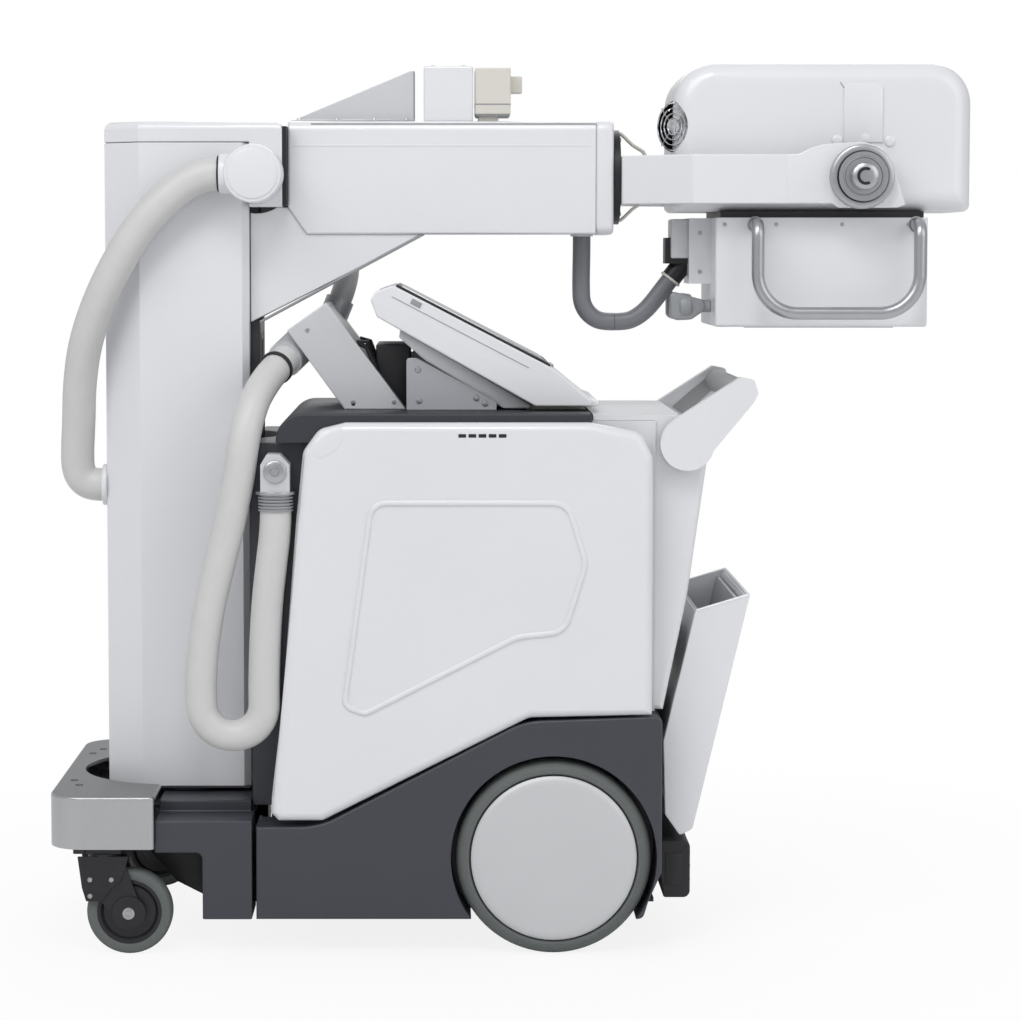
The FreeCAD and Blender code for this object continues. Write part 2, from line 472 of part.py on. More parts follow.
def upper_body():
    """Dark inner body, deck, moulded side panels, rear cover, bin."""
    low = block("core_low", "body_front", "body_rear", "-frame_half - 8", "frame_half + 8",
                "block_top + 8", "base_high + 12")
    high = block("core_high", "body_front", "body_rear", "-body_half", "body_half",
                 "base_high + 12", "body_top")
    room = block("core_room", "body_nose + 6", "body_rear - 4", "-frame_half - 2", "frame_half + 2",
                 "body_low", "body_top - 4")
    bay = rod("core_bay", "Z", "col_x", "0", "body_low", "turn_room", "600")
    keep(cut("core_cut", fuse("core", low, high), room, bay), "inner_body")

    outline = [("body_nose", "body_top"), ("deck_rear", "body_top"), ("deck_rear", "deck_top"),
               ("body_nose", "deck_top")]
    deck = profile("deck_form", "XZ_Plane", outline, "-panel_half + deck_inset",
                   "panel_half - deck_inset",
                   {3: "deck_round"})
    bay = rod("deck_bay", "Z", "col_x", "0", "body_low", "turn_room", "700")
    keep(cut("deck_cut", deck, bay), "deck")

    outline = [("panel_front_high", "735"), ("panel_front_high + 23", "767"),
               ("panel_front_high + 62", "panel_top"), ("108", "panel_top"), ("183", "762"),
               ("panel_rear", "726"), ("panel_rear", "panel_mid_z + 2"), ("22", "panel_mid_z - 2"),
               ("-278", "panel_low"), ("-342", "panel_low"), ("panel_front_low - 1", "208"),
               ("panel_front_low", "232"), ("-337", "361"), ("-324", "510"), ("-315", "637")]
    inner = [("panel_front_high + 14", "735"), ("panel_front_high + 62", "panel_top - 14"),
             ("108", "panel_top - 14"), ("172", "750"), ("panel_rear - 14", "722"),
             ("panel_rear - 14", "panel_mid_z + 16"), ("20", "panel_mid_z + 14"),
             ("-282", "panel_low + 14"), ("-338", "panel_low + 14"), ("-324", "361"), ("-311", "510")]
    ridge_out = [("-200", "664"), ("61", "664"), ("86", "641"), ("102", "573"), ("74", "483"),
                 ("49", "469"), ("5", "466"), ("-24", "454"), ("-210", "356"), ("-236", "360"),
                 ("-245", "382"), ("-207", "641")]
    ridge_in = [("-193", "655"), ("57", "655"), ("78", "636"), ("92", "573"), ("66", "489"),
                ("47", "478"), ("4", "475"), ("-28", "463"), ("-211", "366"), ("-229", "369"),
                ("-236", "383"), ("-199", "637")]
    blank = profile("panel_form", "XZ_Plane", outline, "-panel_half", "-panel_half + 20.1",
                    {0: "panel_soft", 1: "panel_soft", 4: "panel_soft", 5: "panel_soft",
                     7: "panel_soft", 8: "stem_r"})
    face = -val("panel_half")
    soften(blank, "panel_edge", long_edges(blank, lambda p, e: abs(p.y - face) < 0.01))
    pocket = profile("panel_inner", "XZ_Plane", inner, "-panel_half + panel_wall", "-panel_half + 21")
    loop_out = profile("ridge_outer", "XZ_Plane", ridge_out, "-panel_half - ridge_h",
                       "-panel_half", {0: "ridge_bend", 5: "ridge_w", 8: "ridge_bend", 10: "ridge_w"})
    loop_in = profile("ridge_inner", "XZ_Plane", ridge_in, "-panel_half - ridge_h - 1",
                      "-panel_half + 1", {0: "ridge_w"})
    ridge = cut("ridge", loop_out, loop_in)
    near = fuse("panel_near", cut("panel_shell", blank, pocket), ridge)
    keep(near, "side_panel_near")
    keep(mirrored("panel_far", near), "side_panel_far")

    outline = [("deck_rear + 3", "panel_top + 1"), ("body_rear", "panel_top + 1"),
               ("body_rear", "rear_low + 23"), ("rear_low_x", "rear_low + 23"), ("254", "523"),
               ("263", "590"), ("rear_x", "736"), ("rear_x - 22", "770"),
               ("rear_x - 44", "rear_top"), ("deck_rear + 3", "rear_top")]
    shell = profile("rear_form", "XZ_Plane", outline, "-rear_half", "rear_half",
                    {6: "panel_soft"})
    soften(shell, "stem_r", long_edges(
        shell, lambda p, e: abs(abs(p.y) - val("rear_half")) < 0.01 and len(e.Vertexes) == 2
        and p.x > val("body_rear + 5")))
    room = block("rear_room", "body_rear", "rear_low_x + 20", "-rear_half + 8", "rear_half - 8",
                 "rear_low + 60", "panel_top - 10")
    pivots = [rod(f"handle_pin_{side}", "Y", "handle_x", start, "handle_z", "pin_r + 7", "18")
              for side, start in (("near", "-rear_half - 16"), ("far", "rear_half - 2"))]
    keep(fuse("rear_all", cut("rear_cut", shell, room), *pivots), "rear_cover")

    outer = [("bin_low_x", "bin_low"), ("bin_low_x + 19", "bin_low + 9"), ("bin_rear", "bin_rear_z"),
             ("bin_front", "bin_front_z"), ("221", "303"), ("224", "194")]
    inner = [("bin_low_x + 1", "bin_low + 6"), ("bin_low_x + 16", "bin_low + 13"),
             ("bin_rear - 5", "bin_rear_z + 1"), ("bin_front + 4", "bin_front_z + 4"),
             ("225.4", "303"), ("228.4", "195")]
    tray = profile("bin_form", "XZ_Plane", outer, "-bin_half", "bin_half",
                   {0: "cover_wall", 1: "stem_r"})
    hollow = profile("bin_inside", "XZ_Plane", inner, "-bin_half + bin_wall", "bin_half - bin_wall")
    hooks = [block(f"bin_hook_{side}", "base_rear", "223.6", y, f"{y} + 20", "296", "312")
             for side, y in (("near", "-120"), ("far", "100"))]
    keep(fuse("bin_all", cut("bin_cut", tray, hollow), *hooks), "cassette_bin")

    cheeks = []
    for side, low, high in (("near", "-handle_out", "-handle_out + handle_wall"),
                            ("far", "handle_out - handle_wall", "handle_out")):
        arm = [("handle_x - 21", "handle_z + 33"), ("handle_end_x - 26", "handle_end_z + 23"),
               ("handle_end_x - 6", "handle_end_z + 19"), ("handle_end_x", "handle_end_z"),
               ("handle_end_x - 7", "handle_end_z - 14"), ("handle_x + 37", "handle_z - 11"),
               ("handle_x", "handle_z - 20")]
        bar = profile(f"handle_arm_{side}", "XZ_Plane", arm, low, high,
                      {2: "cover_wall", 3: "cover_wall"})
        eye = rod(f"handle_eye_{side}", "Y", "handle_x", low, "handle_z", "handle_r", "handle_wall")
        cheeks.append(fuse(f"handle_cheek_{side}", bar, eye))
    grip = rod("handle_grip", "Y", "handle_end_x - 20", "-handle_out + handle_wall", "handle_end_z",
               "grip_r", "handle_out + handle_out - handle_wall - handle_wall")
    bore = rod("handle_bore", "Y", "handle_x", "-handle_out + 10", "handle_z",
               "pin_r + 7 + run_clear", "handle_out + handle_out - 20")
    keep(cut("handle_cut", fuse("handle_all", *cheeks, grip), bore), "push_handle")


def console():
    """Hose guide, monitor and its bracket on the deck."""
    outer = [("-334", "906"), ("-276", "947"), ("-158", "deck_top"), ("-249", "deck_top")]
    inner = [("-329", "904"), ("-277", "941"), ("-163", "deck_top - 1"), ("-245", "deck_top - 1")]
    box = profile("guide_form", "XZ_Plane", outer, "-guide_half", "guide_half")
    room = profile("guide_room", "XZ_Plane", inner, "-guide_half + guide_wall",
                   "guide_half - guide_wall")
    guide = keep(cut("guide_cut", box, room), "hose_guide")

    slab = [("-209", "951"), ("-202", "964"), ("-176", "973"), ("59", "851"), ("115", "803"),
            ("113", "796"), ("32", "796"), ("-200", "927")]
    screen = profile("monitor_form", "XZ_Plane", slab, "-screen_half", "screen_half",
                     {0: "pin_r", 1: "stem_r", 2: "pin_r", 7: "pin_r"})
    keep(screen, "monitor_housing")
    glass = [("-160", "964.7"), ("44", "858.8"), ("46.2", "863"), ("-157.8", "969")]
    keep(profile("glass_form", "XZ_Plane", glass, "-screen_half + 16", "screen_half - 16"),
         "monitor_glass")
    mount = [("-148", "deck_top"), ("-20", "deck_top"), ("-20", "825.3"), ("-148", "897.5")]
    plates = [profile("mount_form", "XZ_Plane", mount, "-60", "60")]
    for side, low, high in (("near", "-bracket_y", "-bracket_y + bracket_t"),
                            ("far", "bracket_y - bracket_t", "bracket_y")):
        plate = [("-157", "deck_top"), ("-24", "deck_top"), ("-24", "802"), ("-142", "866"),
                 ("-157", "866")]
        plates.append(profile(f"bracket_{side}", "XZ_Plane", plate, low, high,
                              {3: "pin_r", 4: "pin_r"}))
    keep(group("brackets", *plates), "monitor_bracket")
    return guide


def column():
    """Swivelling column: turntable ring, cover open at the rear, guide rails."""
    ring = rod("turn_top_ring", "Z", "col_x", "0", "turn_split + 0.3", "turn_r",
               "col_low - turn_split - 0.3")
    bore = rod("turn_bore", "Z", "col_x", "0", "turn_split", "30 + run_clear", "40")
    keep(cut("turn_upper", ring, bore), "turntable_ring")
    x0, x1, half = "col_front", "col_rear", "col_half"
    w = "col_wall"
    shape = [(x0, f"-{half} + col_fold_y"), (f"{x0} + col_fold_x", f"-{half}"),
             (f"{x1} - col_edge", f"-{half}"), (x1, f"-{half} + col_edge"), (x1, "-slot_half"),
             (f"{x1} - {w}", "-slot_half"), (f"{x1} - {w}", f"-{half} + col_edge + 2"),
             (f"{x1} - col_edge - 2", f"-{half} + {w}"), (f"{x0} + col_fold_x + 1", f"-{half} + {w}"),
             (f"{x0} + {w}", f"-{half} + col_fold_y + 2")]
    other = [(x, flip(y)) for x, y in reversed(shape)]
    cover = profile("cover_form", "XY_Plane", shape + other, "col_low", "col_seam")
    sill = block("cover_foot", "mast_front", "col_rear - 12", "-col_half + col_wall",
                 "col_half - col_wall", "col_low", "col_low + 8")
    keep(fuse("cover_all", cover, sill), "column_cover")
    rails = []
    for side, low, high in (("near", "-col_half + col_wall", "-mast_half - 0.5"),
                            ("far", "mast_half + 0.5", "col_half - col_wall")):
        rails.append(block(f"rail_{side}", "mast_front + 10", "mast_front + 110", low, high,
                           "col_low + 8", "col_seam - 20"))
    keep(group("rails", *rails), "mast_rails")
    gasket = rod("gasket_ring", "X", "col_front - 8", "-38", "671", "riser_d - 19", "8")
    elbow = block("link_elbow", "col_x - 18", "col_x + 18", "col_half", "col_half + 46", "925", "955")
    keep(group("glands", gasket, elbow), "hose_glands")


def flip(text):
    """The same sum with every sign turned."""
    turned = ["-" if word == "+" else "+" if word == "-" else word for word in text.split()]
    first = turned[0]
    turned[0] = first[1:] if first.startswith("-") else "-" + first
    return " ".join(turned)


def mast_and_arm():
    """Lifting mast with its cap, hose drum, arm, gusset and the parts on top of the arm."""
    outer = block("mast_outer", "mast_front", "mast_rear", "-mast_half", "mast_half", "mast_low",
                  "col_seam + seam_gap")
    inner = block("mast_inner", "mast_front + mast_wall", "mast_rear - mast_wall",
                  "-mast_half + mast_wall", "mast_half - mast_wall", "mast_low - 1", "col_seam + 5")
    keep(cut("mast_cut", outer, inner), "lift_mast")
    edge = [("col_front", "-col_half + col_fold_y"), ("col_front + col_fold_x", "-col_half"),
            ("head_rear", "-col_half"), ("head_rear", "col_half"),
            ("col_front + col_fold_x", "col_half"), ("col_front", "col_half - col_fold_y")]
    slab = profile("cap_form", "XY_Plane", edge, "col_seam + seam_gap", "col_top")
    soften(slab, "cap_round", long_edges(slab, lambda p, e: abs(p.z - val("col_top")) < 0.01))
    head = block("head_block", "col_rear + seam_gap", "head_rear", "-col_half", "col_half", "head_low",
                 "col_seam + seam_gap")
    slot = block("head_slot", "col_rear", "mast_rear", "-mast_half", "mast_half", "head_low - 1",
                 "col_seam + seam_gap")
    neck = block("head_neck", "mast_rear", "head_rear + 1", "-45", "45", "1092", "1180")
    keep(cut("cap_cut", fuse("cap_all", slab, head), slot, neck), "mast_cap")
    drum = rod("boss_drum", "Y", "boss_x", "-boss_out", "boss_z", "boss_r", "boss_out - col_half - 1")
    spigot = rod("boss_spigot", "Y", "boss_x + 12", "-col_half - 1", "boss_z", "16", "1")
    collar = rod("boss_collar", "X", "boss_x - boss_r - 7", "boss_hose_y", "boss_z", "riser_d - 22",
                 "20")
    keep(fuse("boss_all", drum, spigot, collar), "hose_drum")

    outline = [("arm_front", "arm_low + arm_cut_z"), ("arm_front + arm_cut_x", "arm_low"),
               ("arm_rear", "arm_low"), ("arm_rear", "arm_top"), ("arm_front", "arm_top")]
    shell = profile("arm_form", "XZ_Plane", outline, "-arm_half", "arm_half")
    half = val("arm_half")
    soften(shell, "arm_round", long_edges(
        shell, lambda p, e: abs(abs(p.y) - half) < 0.01 and abs(p.z - val("arm_top")) < 0.01))
    soften(shell, "cover_wall", long_edges(
        shell, lambda p, e: abs(abs(p.y) - half) < 0.01 and p.z < val("arm_top - 26")
        and p.x < val("arm_rear - 4")))
    room = block("arm_room", "arm_front + arm_wall + 30", "arm_rear + 1", "-arm_half + arm_wall",
                 "arm_half - arm_wall", "arm_low + arm_wall", "arm_top - arm_wall")
    door = block("arm_door", "arm_front - 1", "arm_front + arm_wall + 31", "-45", "45", "1092", "1180")
    exit_ = rod("arm_exit", "Z", "107", "0", "arm_low - 1", "lead_d - 9", "10")
    grommet = rod("grommet_ring", "Z", "107", "0", "arm_low - 3", "lead_d - 10", "3")
    keep(fuse("arm_all", cut("arm_cut", shell, room, door, exit_), grommet), "arm_housing")
    neck = block("beam_neck", "mast_rear", "arm_front + arm_wall + 30", "-45", "45", "1092", "1180")
    beam = block("beam_long", "arm_front + arm_wall + 30", "arm_rear", "-45", "45",
                 "arm_low + arm_wall + 18", "arm_top - arm_wall")
    keep(fuse("beam", neck, beam), "arm_beam")
    ring = profile("collar_form", "XZ_Plane",
                   [("arm_rear", "arm_low - 1"), ("arm_end", "arm_low - 1"), ("arm_end", "arm_top + 1"),
                    ("arm_rear", "arm_top + 1")], "-arm_half - 1", "arm_half + 1")
    soften(ring, "arm_round", long_edges(
        ring, lambda p, e: abs(abs(p.y) - val("arm_half + 1")) < 0.01
        and min(abs(p.z - val("arm_low - 1")), abs(p.z - val("arm_top + 1"))) < 0.01))
    bore = rod("collar_bore", "X", "arm_rear - 1", "0", "roll_z", "30 + run_clear", "40")
    keep(cut("collar_cut", ring, bore), "arm_end_ring")

    outline = [("gusset_x", "gusset_low"), ("gusset_tip", "arm_low"), ("arm_front + arm_cut_x", "arm_low"),
               ("arm_front", "arm_low + arm_cut_z"), ("arm_front - 2", "arm_low + arm_cut_z"),
               ("gusset_x", "arm_low + arm_cut_z")]
    inner = [("gusset_x - 1", "gusset_low + gusset_flange"), ("gusset_tip - 16", "arm_low"),
             ("gusset_tip - 16", "1090"), ("gusset_x - 1", "1090")]
    plate = profile("gusset_form", "XZ_Plane", outline, "-gusset_half", "gusset_half")
    room = profile("gusset_room", "XZ_Plane", inner, "-gusset_half + gusset_wall",
                   "gusset_half - gusset_wall")
    nest = rod("gusset_nest", "Y", "boss_x", "-col_half", "boss_z", "boss_r + nest_gap", "200")
    seat = block("gusset_seat", "gusset_x - 1", "mast_rear", "-mast_half", "mast_half",
                 "gusset_low - 1", "1092")
    keep(cut("gusset_cut", plate, room, nest, seat), "gusset")

    wedge = profile("brace_form", "XZ_Plane",
                    [("brace_front", "arm_top"), ("brace_rear", "arm_top"), ("brace_rear", "brace_top"),
                     ("brace_rear - 6", "brace_top")], "-brace_half", "brace_half")
    keep(wedge, "brace_plate")
    cap = profile("top_form", "XZ_Plane",
                  [("cap_front", "arm_top"), ("cap_rear", "arm_top"), ("cap_rear", "cap_top"),
                   ("cap_front", "cap_top")], "-cap_half", "cap_half",
                  {2: "cover_wall", 3: "cover_wall"})
    keep(cap, "rest_block")
    body = block("latch_body", "cap_rear + latch_gap", "latch_rear", "-cap_half", "cap_half",
                 "latch_low", "latch_top")
    foot = block("latch_foot", "latch_foot_front", "latch_foot_rear", "-cap_half + 10",
                 "cap_half - 10", "arm_top", "latch_low")
    tab = block("latch_tab", "latch_rear", "tab_rear", "-tab_half", "tab_half", "tab_low", "tab_top")
    keep(fuse("latch", body, foot, tab), "rest_catch")


def yoke_and_head():
    """Rolling yoke, tilting tube head with its fan, collimator box, handles and knobs."""
    disc = rod("flange_disc", "X", "arm_end + 0.4", "0", "roll_z", "flange_r", "flange_t")
    pin = rod("flange_pin", "X", "arm_rear + 2", "0", "roll_z", "30", "arm_end - arm_rear - 1.6")
    keep(fuse("flange_all", disc, pin), "roll_flange")
    w = "yoke_wall"
    outline = [("arm_end + 0.4 + flange_t", "-yoke_back_half"), ("yoke_bend", "-yoke_half"),
               ("tilt_x", "-yoke_half"), ("tilt_x", f"-yoke_half + {w}"),
               ("yoke_bend + 6", f"-yoke_half + {w}"),
               ("arm_end + 0.4 + flange_t + yoke_wall", "-yoke_back_half + 8")]
    full = outline + [(x, flip(y)) for x, y in reversed(outline)]
    fork = profile("yoke_form", "XY_Plane", full, "yoke_low", "yoke_high")
    ears, bores = [], []
    for side, low in (("near", "-yoke_half"), ("far", f"yoke_half - {w}")):
        ears.append(rod(f"ear_{side}", "Y", "tilt_x", low, "tilt_z", "ear_r", w))
        bores.append(rod(f"ear_bore_{side}", "Y", "tilt_x", f"{low} - 20", "tilt_z",
                         "pivot_r + run_clear", "60"))
    rings = []
    for side, low in (("near", "-ring_out"), ("far", "yoke_half")):
        ring = rod(f"ring_{side}", "Y", "tilt_x", low, "tilt_z", "ring_r", "ring_out - yoke_half")
        hole = rod(f"ring_hole_{side}", "Y", "tilt_x", low, "tilt_z", "cap_disc_r + 1",
                   "ring_out - yoke_half")
        rings.append(cut(f"ring_cut_{side}", ring, hole))
    keep(cut("yoke_cut", fuse("yoke_all", fork, *ears), *bores), "yoke")
    keep(group("pivot_rings", *rings), "pivot_rings")

    box = profile("head_form", "XZ_Plane",
                  [("head_x0", "head_z0"), ("head_x1", "head_z0"), ("head_x1", "head_z1"),
                   ("head_x0", "head_z1")], "-head_half", "head_half",
                  {0: "stem_r", 1: "stem_r", 2: "head_big", 3: "head_big"})
    face = val("head_half")
    soften(box, "head_small", long_edges(box, lambda p, e: abs(abs(p.y) - face) < 0.01))
    fan = doc.addObject("Part::Cylinder", "fan_can")
    bind(fan, "Radius", "fan_r")
    bind(fan, "Height", "fan_deep + 20")
    fan.Placement = FreeCAD.Placement(
        Vector(val("fan_x"), val("fan_y"), val("fan_z")),
        FreeCAD.Rotation(Vector(0, 0, 1), Vector(0.8, 0.6, 0)))
    keep(cut("head_cut", box, fan), "head_housing")
    can = doc.addObject("Part::Cylinder", "fan_drum")
    bind(can, "Radius", "fan_r")
    bind(can, "Height", "fan_deep + 20")
    can.Placement = fan.Placement
    keep(can, "fan_unit")
    pins = []
    for side, low, disc_low in (("near", "-ring_out + 2", "-cap_disc_out"),
                                ("far", "head_half", "ring_out - 8")):
        pins.append(rod(f"tilt_pin_{side}", "Y", "tilt_x", low, "tilt_z", "pivot_r",
                        "ring_out - head_half - 2"))
        pins.append(rod(f"tilt_disc_{side}", "Y", "tilt_x", disc_low, "tilt_z", "cap_disc_r",
                        "cap_disc_out - ring_out + 8"))
    hole = rod("knob_hole", "Y", "tilt_x", "-cap_disc_out - 1", "tilt_z", "6 + run_clear", "15")
    keep(cut("tilt_pins_cut", fuse("tilt_all", *pins), hole), "tilt_pins")
    knob = rod("knob_body", "Y", "tilt_x", "-knob_out", "tilt_z", "knob_r",
               "knob_out - cap_disc_out - 0.3")
    spindle = rod("knob_pin", "Y", "tilt_x", "-cap_disc_out - 0.3", "tilt_z", "6", "10")
    keep(fuse("knob_all", knob, spindle), "tilt_knob")

    box = profile("coll_form", "XZ_Plane",
                  [("coll_x0", "coll_z0"), ("coll_x1", "coll_z0"), ("coll_x1", "coll_z1"),
                   ("coll_x0", "coll_z1")], "-coll_half", "coll_half",
                  {0: "cover_wall", 1: "cover_wall"})
    side = val("coll_half")
    soften(box, "pin_r", long_edges(
        box, lambda p, e: abs(abs(p.y) - side) < 0.01 and p.z < val("coll_z1 - 2")))
    flange = block("coll_flange", "coll_x0 + 30", "coll_x1 - 30", "-90", "90", "coll_z1", "head_z0")
    bores = [rod(f"field_bore_{name}", "X", "coll_x0 - 1", y, "lever_z", "6 + run_clear", "20")
             for name, y in (("near", "-36"), ("far", "36"))]
    cover = block("side_cover", "side_x0", "coll_x0", "-side_half", "side_half", "side_low", "coll_z1")
    keep(cut("coll_cut", fuse("coll_all", box, flange, cover), *bores), "collimator_box")
    for name, y in (("near", "-36"), ("far", "36")):
        grip = rod(f"field_grip_{name}", "X", "lever_x", y, "lever_z", "lever_r", "18")
        neck = rod(f"field_neck_{name}", "X", "lever_x + 18", y, "lever_z", "neck_r",
                   "coll_x0 - lever_x - 18.3")
        stem = rod(f"field_stem_{name}", "X", "coll_x0 - 0.3", y, "lever_z", "6", "17")
        keep(fuse(f"field_{name}", grip, neck, stem), f"field_knob_{name}")
    plug = block("side_plug", "plug_x0 - 10", "side_x0", "-plug_half", "plug_half", "plug_low",
                 "plug_high")
    back, tip = (Vector(*point) for point in LEAD_B[-2:])
    boot = feature("lead_boot", Part.makeCylinder(15.5, 34, tip, tip - back))
    keep(cut("socket_cut", fuse("socket_all", plug, boot), cover), "lead_socket")
    bow = [("bar_x0", "-coll_half", "bar_top"), ("bar_x0", "-bar_y", "bar_top"),
           ("bar_x0", "-bar_y", "bar_z"), ("bar_x1", "-bar_y", "bar_z"),
           ("bar_x1", "-bar_y", "bar_top"), ("bar_x1", "-coll_half", "bar_top")]
    near = tube("bow_near", [tuple(val(part) for part in point) for point in bow], 2 * val("bar_r"))
    keep(group("bows", near, mirrored("bow_far", near)), "grab_bars")


def hoses(guide):
    """Hoses at their real length, with the fittings they enter."""
    keep(tube("riser", RISER, val("riser_d"), "riser hose"), "riser_hose")
    keep(tube("supply", SUPPLY, val("supply_d"), "supply hose"), "supply_hose")
    keep(tube("link", LINK, val("link_d"), "link hose"), "link_hose")
    keep(tube("lead_a", LEAD_A, val("lead_d"), "head lead, arm side"), "head_lead_arm")
    keep(tube("lead_b", LEAD_B, val("lead_d"), "head lead, yoke side"), "head_lead_yoke")
    elbow = profile("elbow_form", "XZ_Plane",
                    [("-366", "676"), ("-324", "676"), ("-324", "716"), ("-338", "731"),
                     ("-357", "731"), ("-366", "716")], "-246", "-body_half")
    ferrule = rod("elbow_ferrule", "Z", "-345", "-225", "654", "supply_d - 25", "22")
    rings = [rod(f"elbow_rib_{number}", "Z", "-345", "-225", f"{656 + 6 * number}", "supply_d - 23.6",
                 "3") for number in range(3)]
    fittings = [fuse("elbow_all", elbow, ferrule, *rings)]
    for name, hose, size in (("supply", SUPPLY, 27), ("link", LINK, 22)):
        ends = (hose[-2], hose[-1]) if name == "supply" else (hose[1], hose[0])
        back, tip = (Vector(*point) for point in ends)
        heading = (tip - back).normalize()
        body = Part.makeCylinder(size, 60, tip, heading)
        outer = doc.getObject("guide_form").Shape
        piece = body.cut(outer)
        solids = sorted(piece.Solids, key=lambda solid: (solid.CenterOfMass - tip).Length)
        fittings.append(feature(name + "_sleeve", solids[0]))
    keep(group("fittings", *fittings), "hose_fittings")


rear_wheels()
casters()
base()
drive()
upper_body()
hose_box = console()
column()
mast_and_arm()
yoke_and_head()
hoses(hose_box)
doc.recompute()

failed = [item.Name for item in doc.Objects if "Invalid" in item.State or "Error" in item.State]
if failed:
    raise SystemExit(f"failed: {failed}")
os.makedirs("parts", exist_ok=True)
for label, item in PARTS.items():
    shape = item.Shape
    if shape.isNull() or not shape.isValid():
        raise SystemExit(f"{label} is not a valid shape")
    shape.exportStep(f"parts/{label}.step")
print(len(PARTS), "pieces written")
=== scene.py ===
"""Mobile x-ray machine: finishes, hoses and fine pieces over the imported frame.

Metres, in the frame of the CAD part: the push handle is at +X, the column at -X, the side that
the photograph shows at -Y, and the floor at z = 0.
"""
import json
import logging
import math
from dataclasses import dataclass
from enum import Enum
from typing import Iterable, Optional, Sequence

import bmesh
import bpy
from mathutils import Matrix, Vector


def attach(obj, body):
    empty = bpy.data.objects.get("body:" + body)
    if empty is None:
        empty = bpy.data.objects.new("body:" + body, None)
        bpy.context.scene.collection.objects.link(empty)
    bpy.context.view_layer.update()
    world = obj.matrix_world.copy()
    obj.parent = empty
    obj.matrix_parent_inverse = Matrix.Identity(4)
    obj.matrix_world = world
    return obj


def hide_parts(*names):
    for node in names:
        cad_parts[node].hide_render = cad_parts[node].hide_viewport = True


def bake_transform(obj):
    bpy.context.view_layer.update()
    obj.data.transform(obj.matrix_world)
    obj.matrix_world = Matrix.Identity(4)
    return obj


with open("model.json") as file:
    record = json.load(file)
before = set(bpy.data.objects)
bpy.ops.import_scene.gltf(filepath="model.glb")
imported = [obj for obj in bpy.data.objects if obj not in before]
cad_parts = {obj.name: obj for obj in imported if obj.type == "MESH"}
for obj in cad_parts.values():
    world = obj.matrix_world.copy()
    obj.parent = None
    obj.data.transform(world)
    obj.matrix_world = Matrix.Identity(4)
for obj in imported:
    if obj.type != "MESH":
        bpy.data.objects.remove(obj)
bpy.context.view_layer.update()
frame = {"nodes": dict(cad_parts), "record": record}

LOG = logging.getLogger("xray_machine")
Point = Sequence[float]
Colour = tuple[float, float, float]
Outline = Sequence[tuple[float, float]]
Corners = Sequence[tuple[float, float, float]]


class Axis(Enum):
    """Direction that a turned or extruded shape runs in."""

    X = (1.0, 0.0, 0.0)
    Y = (0.0, 1.0, 0.0)
    Z = (0.0, 0.0, 1.0)
    MINUS_Y = (0.0, -1.0, 0.0)

    @property
    def vector(self) -> Vector:
        """Unit vector of the direction."""
        return Vector(self.value)


class Side(Enum):
    """Side of the machine, with the sign of its Y."""

    NEAR = -1.0
    FAR = 1.0

    @property
    def word(self) -> str:
        """Lower-case word used in piece names."""
        return self.name.lower()

    @property
    def out(self) -> Vector:
        """Unit vector away from the middle plane."""
        return Vector((0.0, self.value, 0.0))


# Materials


class Wire:
    """An output in a node tree; arithmetic on it adds Math nodes."""

    def __init__(self, graph: "Graph", socket: bpy.types.NodeSocket) -> None:
        """Keep the output socket and the graph it belongs to."""
        self.graph = graph
        self.socket = socket

    def _math(self, operation: str, first: object, second: object) -> "Wire":
        """Add one Math node and return its result."""
        return self.graph.node("ShaderNodeMath", {"operation": operation}, {0: first, 1: second})

    def __add__(self, other: object) -> "Wire":
        """Sum with a number or another wire."""
        return self._math("ADD", self, other)

    __radd__ = __add__

    def __sub__(self, other: object) -> "Wire":
        """Difference from a number or another wire."""
        return self._math("SUBTRACT", self, other)

    def __mul__(self, other: object) -> "Wire":
        """Product with a number or another wire."""
        return self._math("MULTIPLY", self, other)

    def over(self, edge: float) -> "Wire":
        """One where this wire is above the edge, and zero elsewhere."""
        return self._math("GREATER_THAN", self, edge)


class Graph:
    """A node tree whose nodes all come from one generic method."""

    def __init__(self, owner: bpy.types.Material | bpy.types.World) -> None:
        """Empty the node tree of a material or a world.

        Args:
            owner: Material or world whose nodes are replaced.
        """
        owner.use_nodes = True
        self.tree = owner.node_tree
        self.tree.nodes.clear()

    def node(self, kind: str, settings: Optional[dict] = None, sockets: Optional[dict] = None,
             output: object = 0) -> Wire:
        """Add a node.

        Args:
            kind: Blender's type name of the node.
            settings: Values set on the node first.
            sockets: Input name or number to a value or a wire.
            output: Name or number of the output to return.

        Returns:
            The chosen output, wrapped, or an empty wire where the node has none.
        """
        made = self.tree.nodes.new(kind)
        for key, value in (settings or {}).items():
            setattr(made, key, value)
        for key, value in (sockets or {}).items():
            self.feed(made.inputs[key], value)
        return Wire(self, made.outputs[output] if made.outputs else None)

    def feed(self, socket: bpy.types.NodeSocket, value: object) -> None:
        """Link a wire to a socket, or set its value.

        Args:
            socket: Input to feed.
            value: Wire, number, vector or colour.
        """
        if isinstance(value, Wire):
            self.tree.links.new(value.socket, socket)
        else:
            colour = socket.type == "RGBA" and len(value) == 3
            socket.default_value = (*value, 1.0) if colour else value


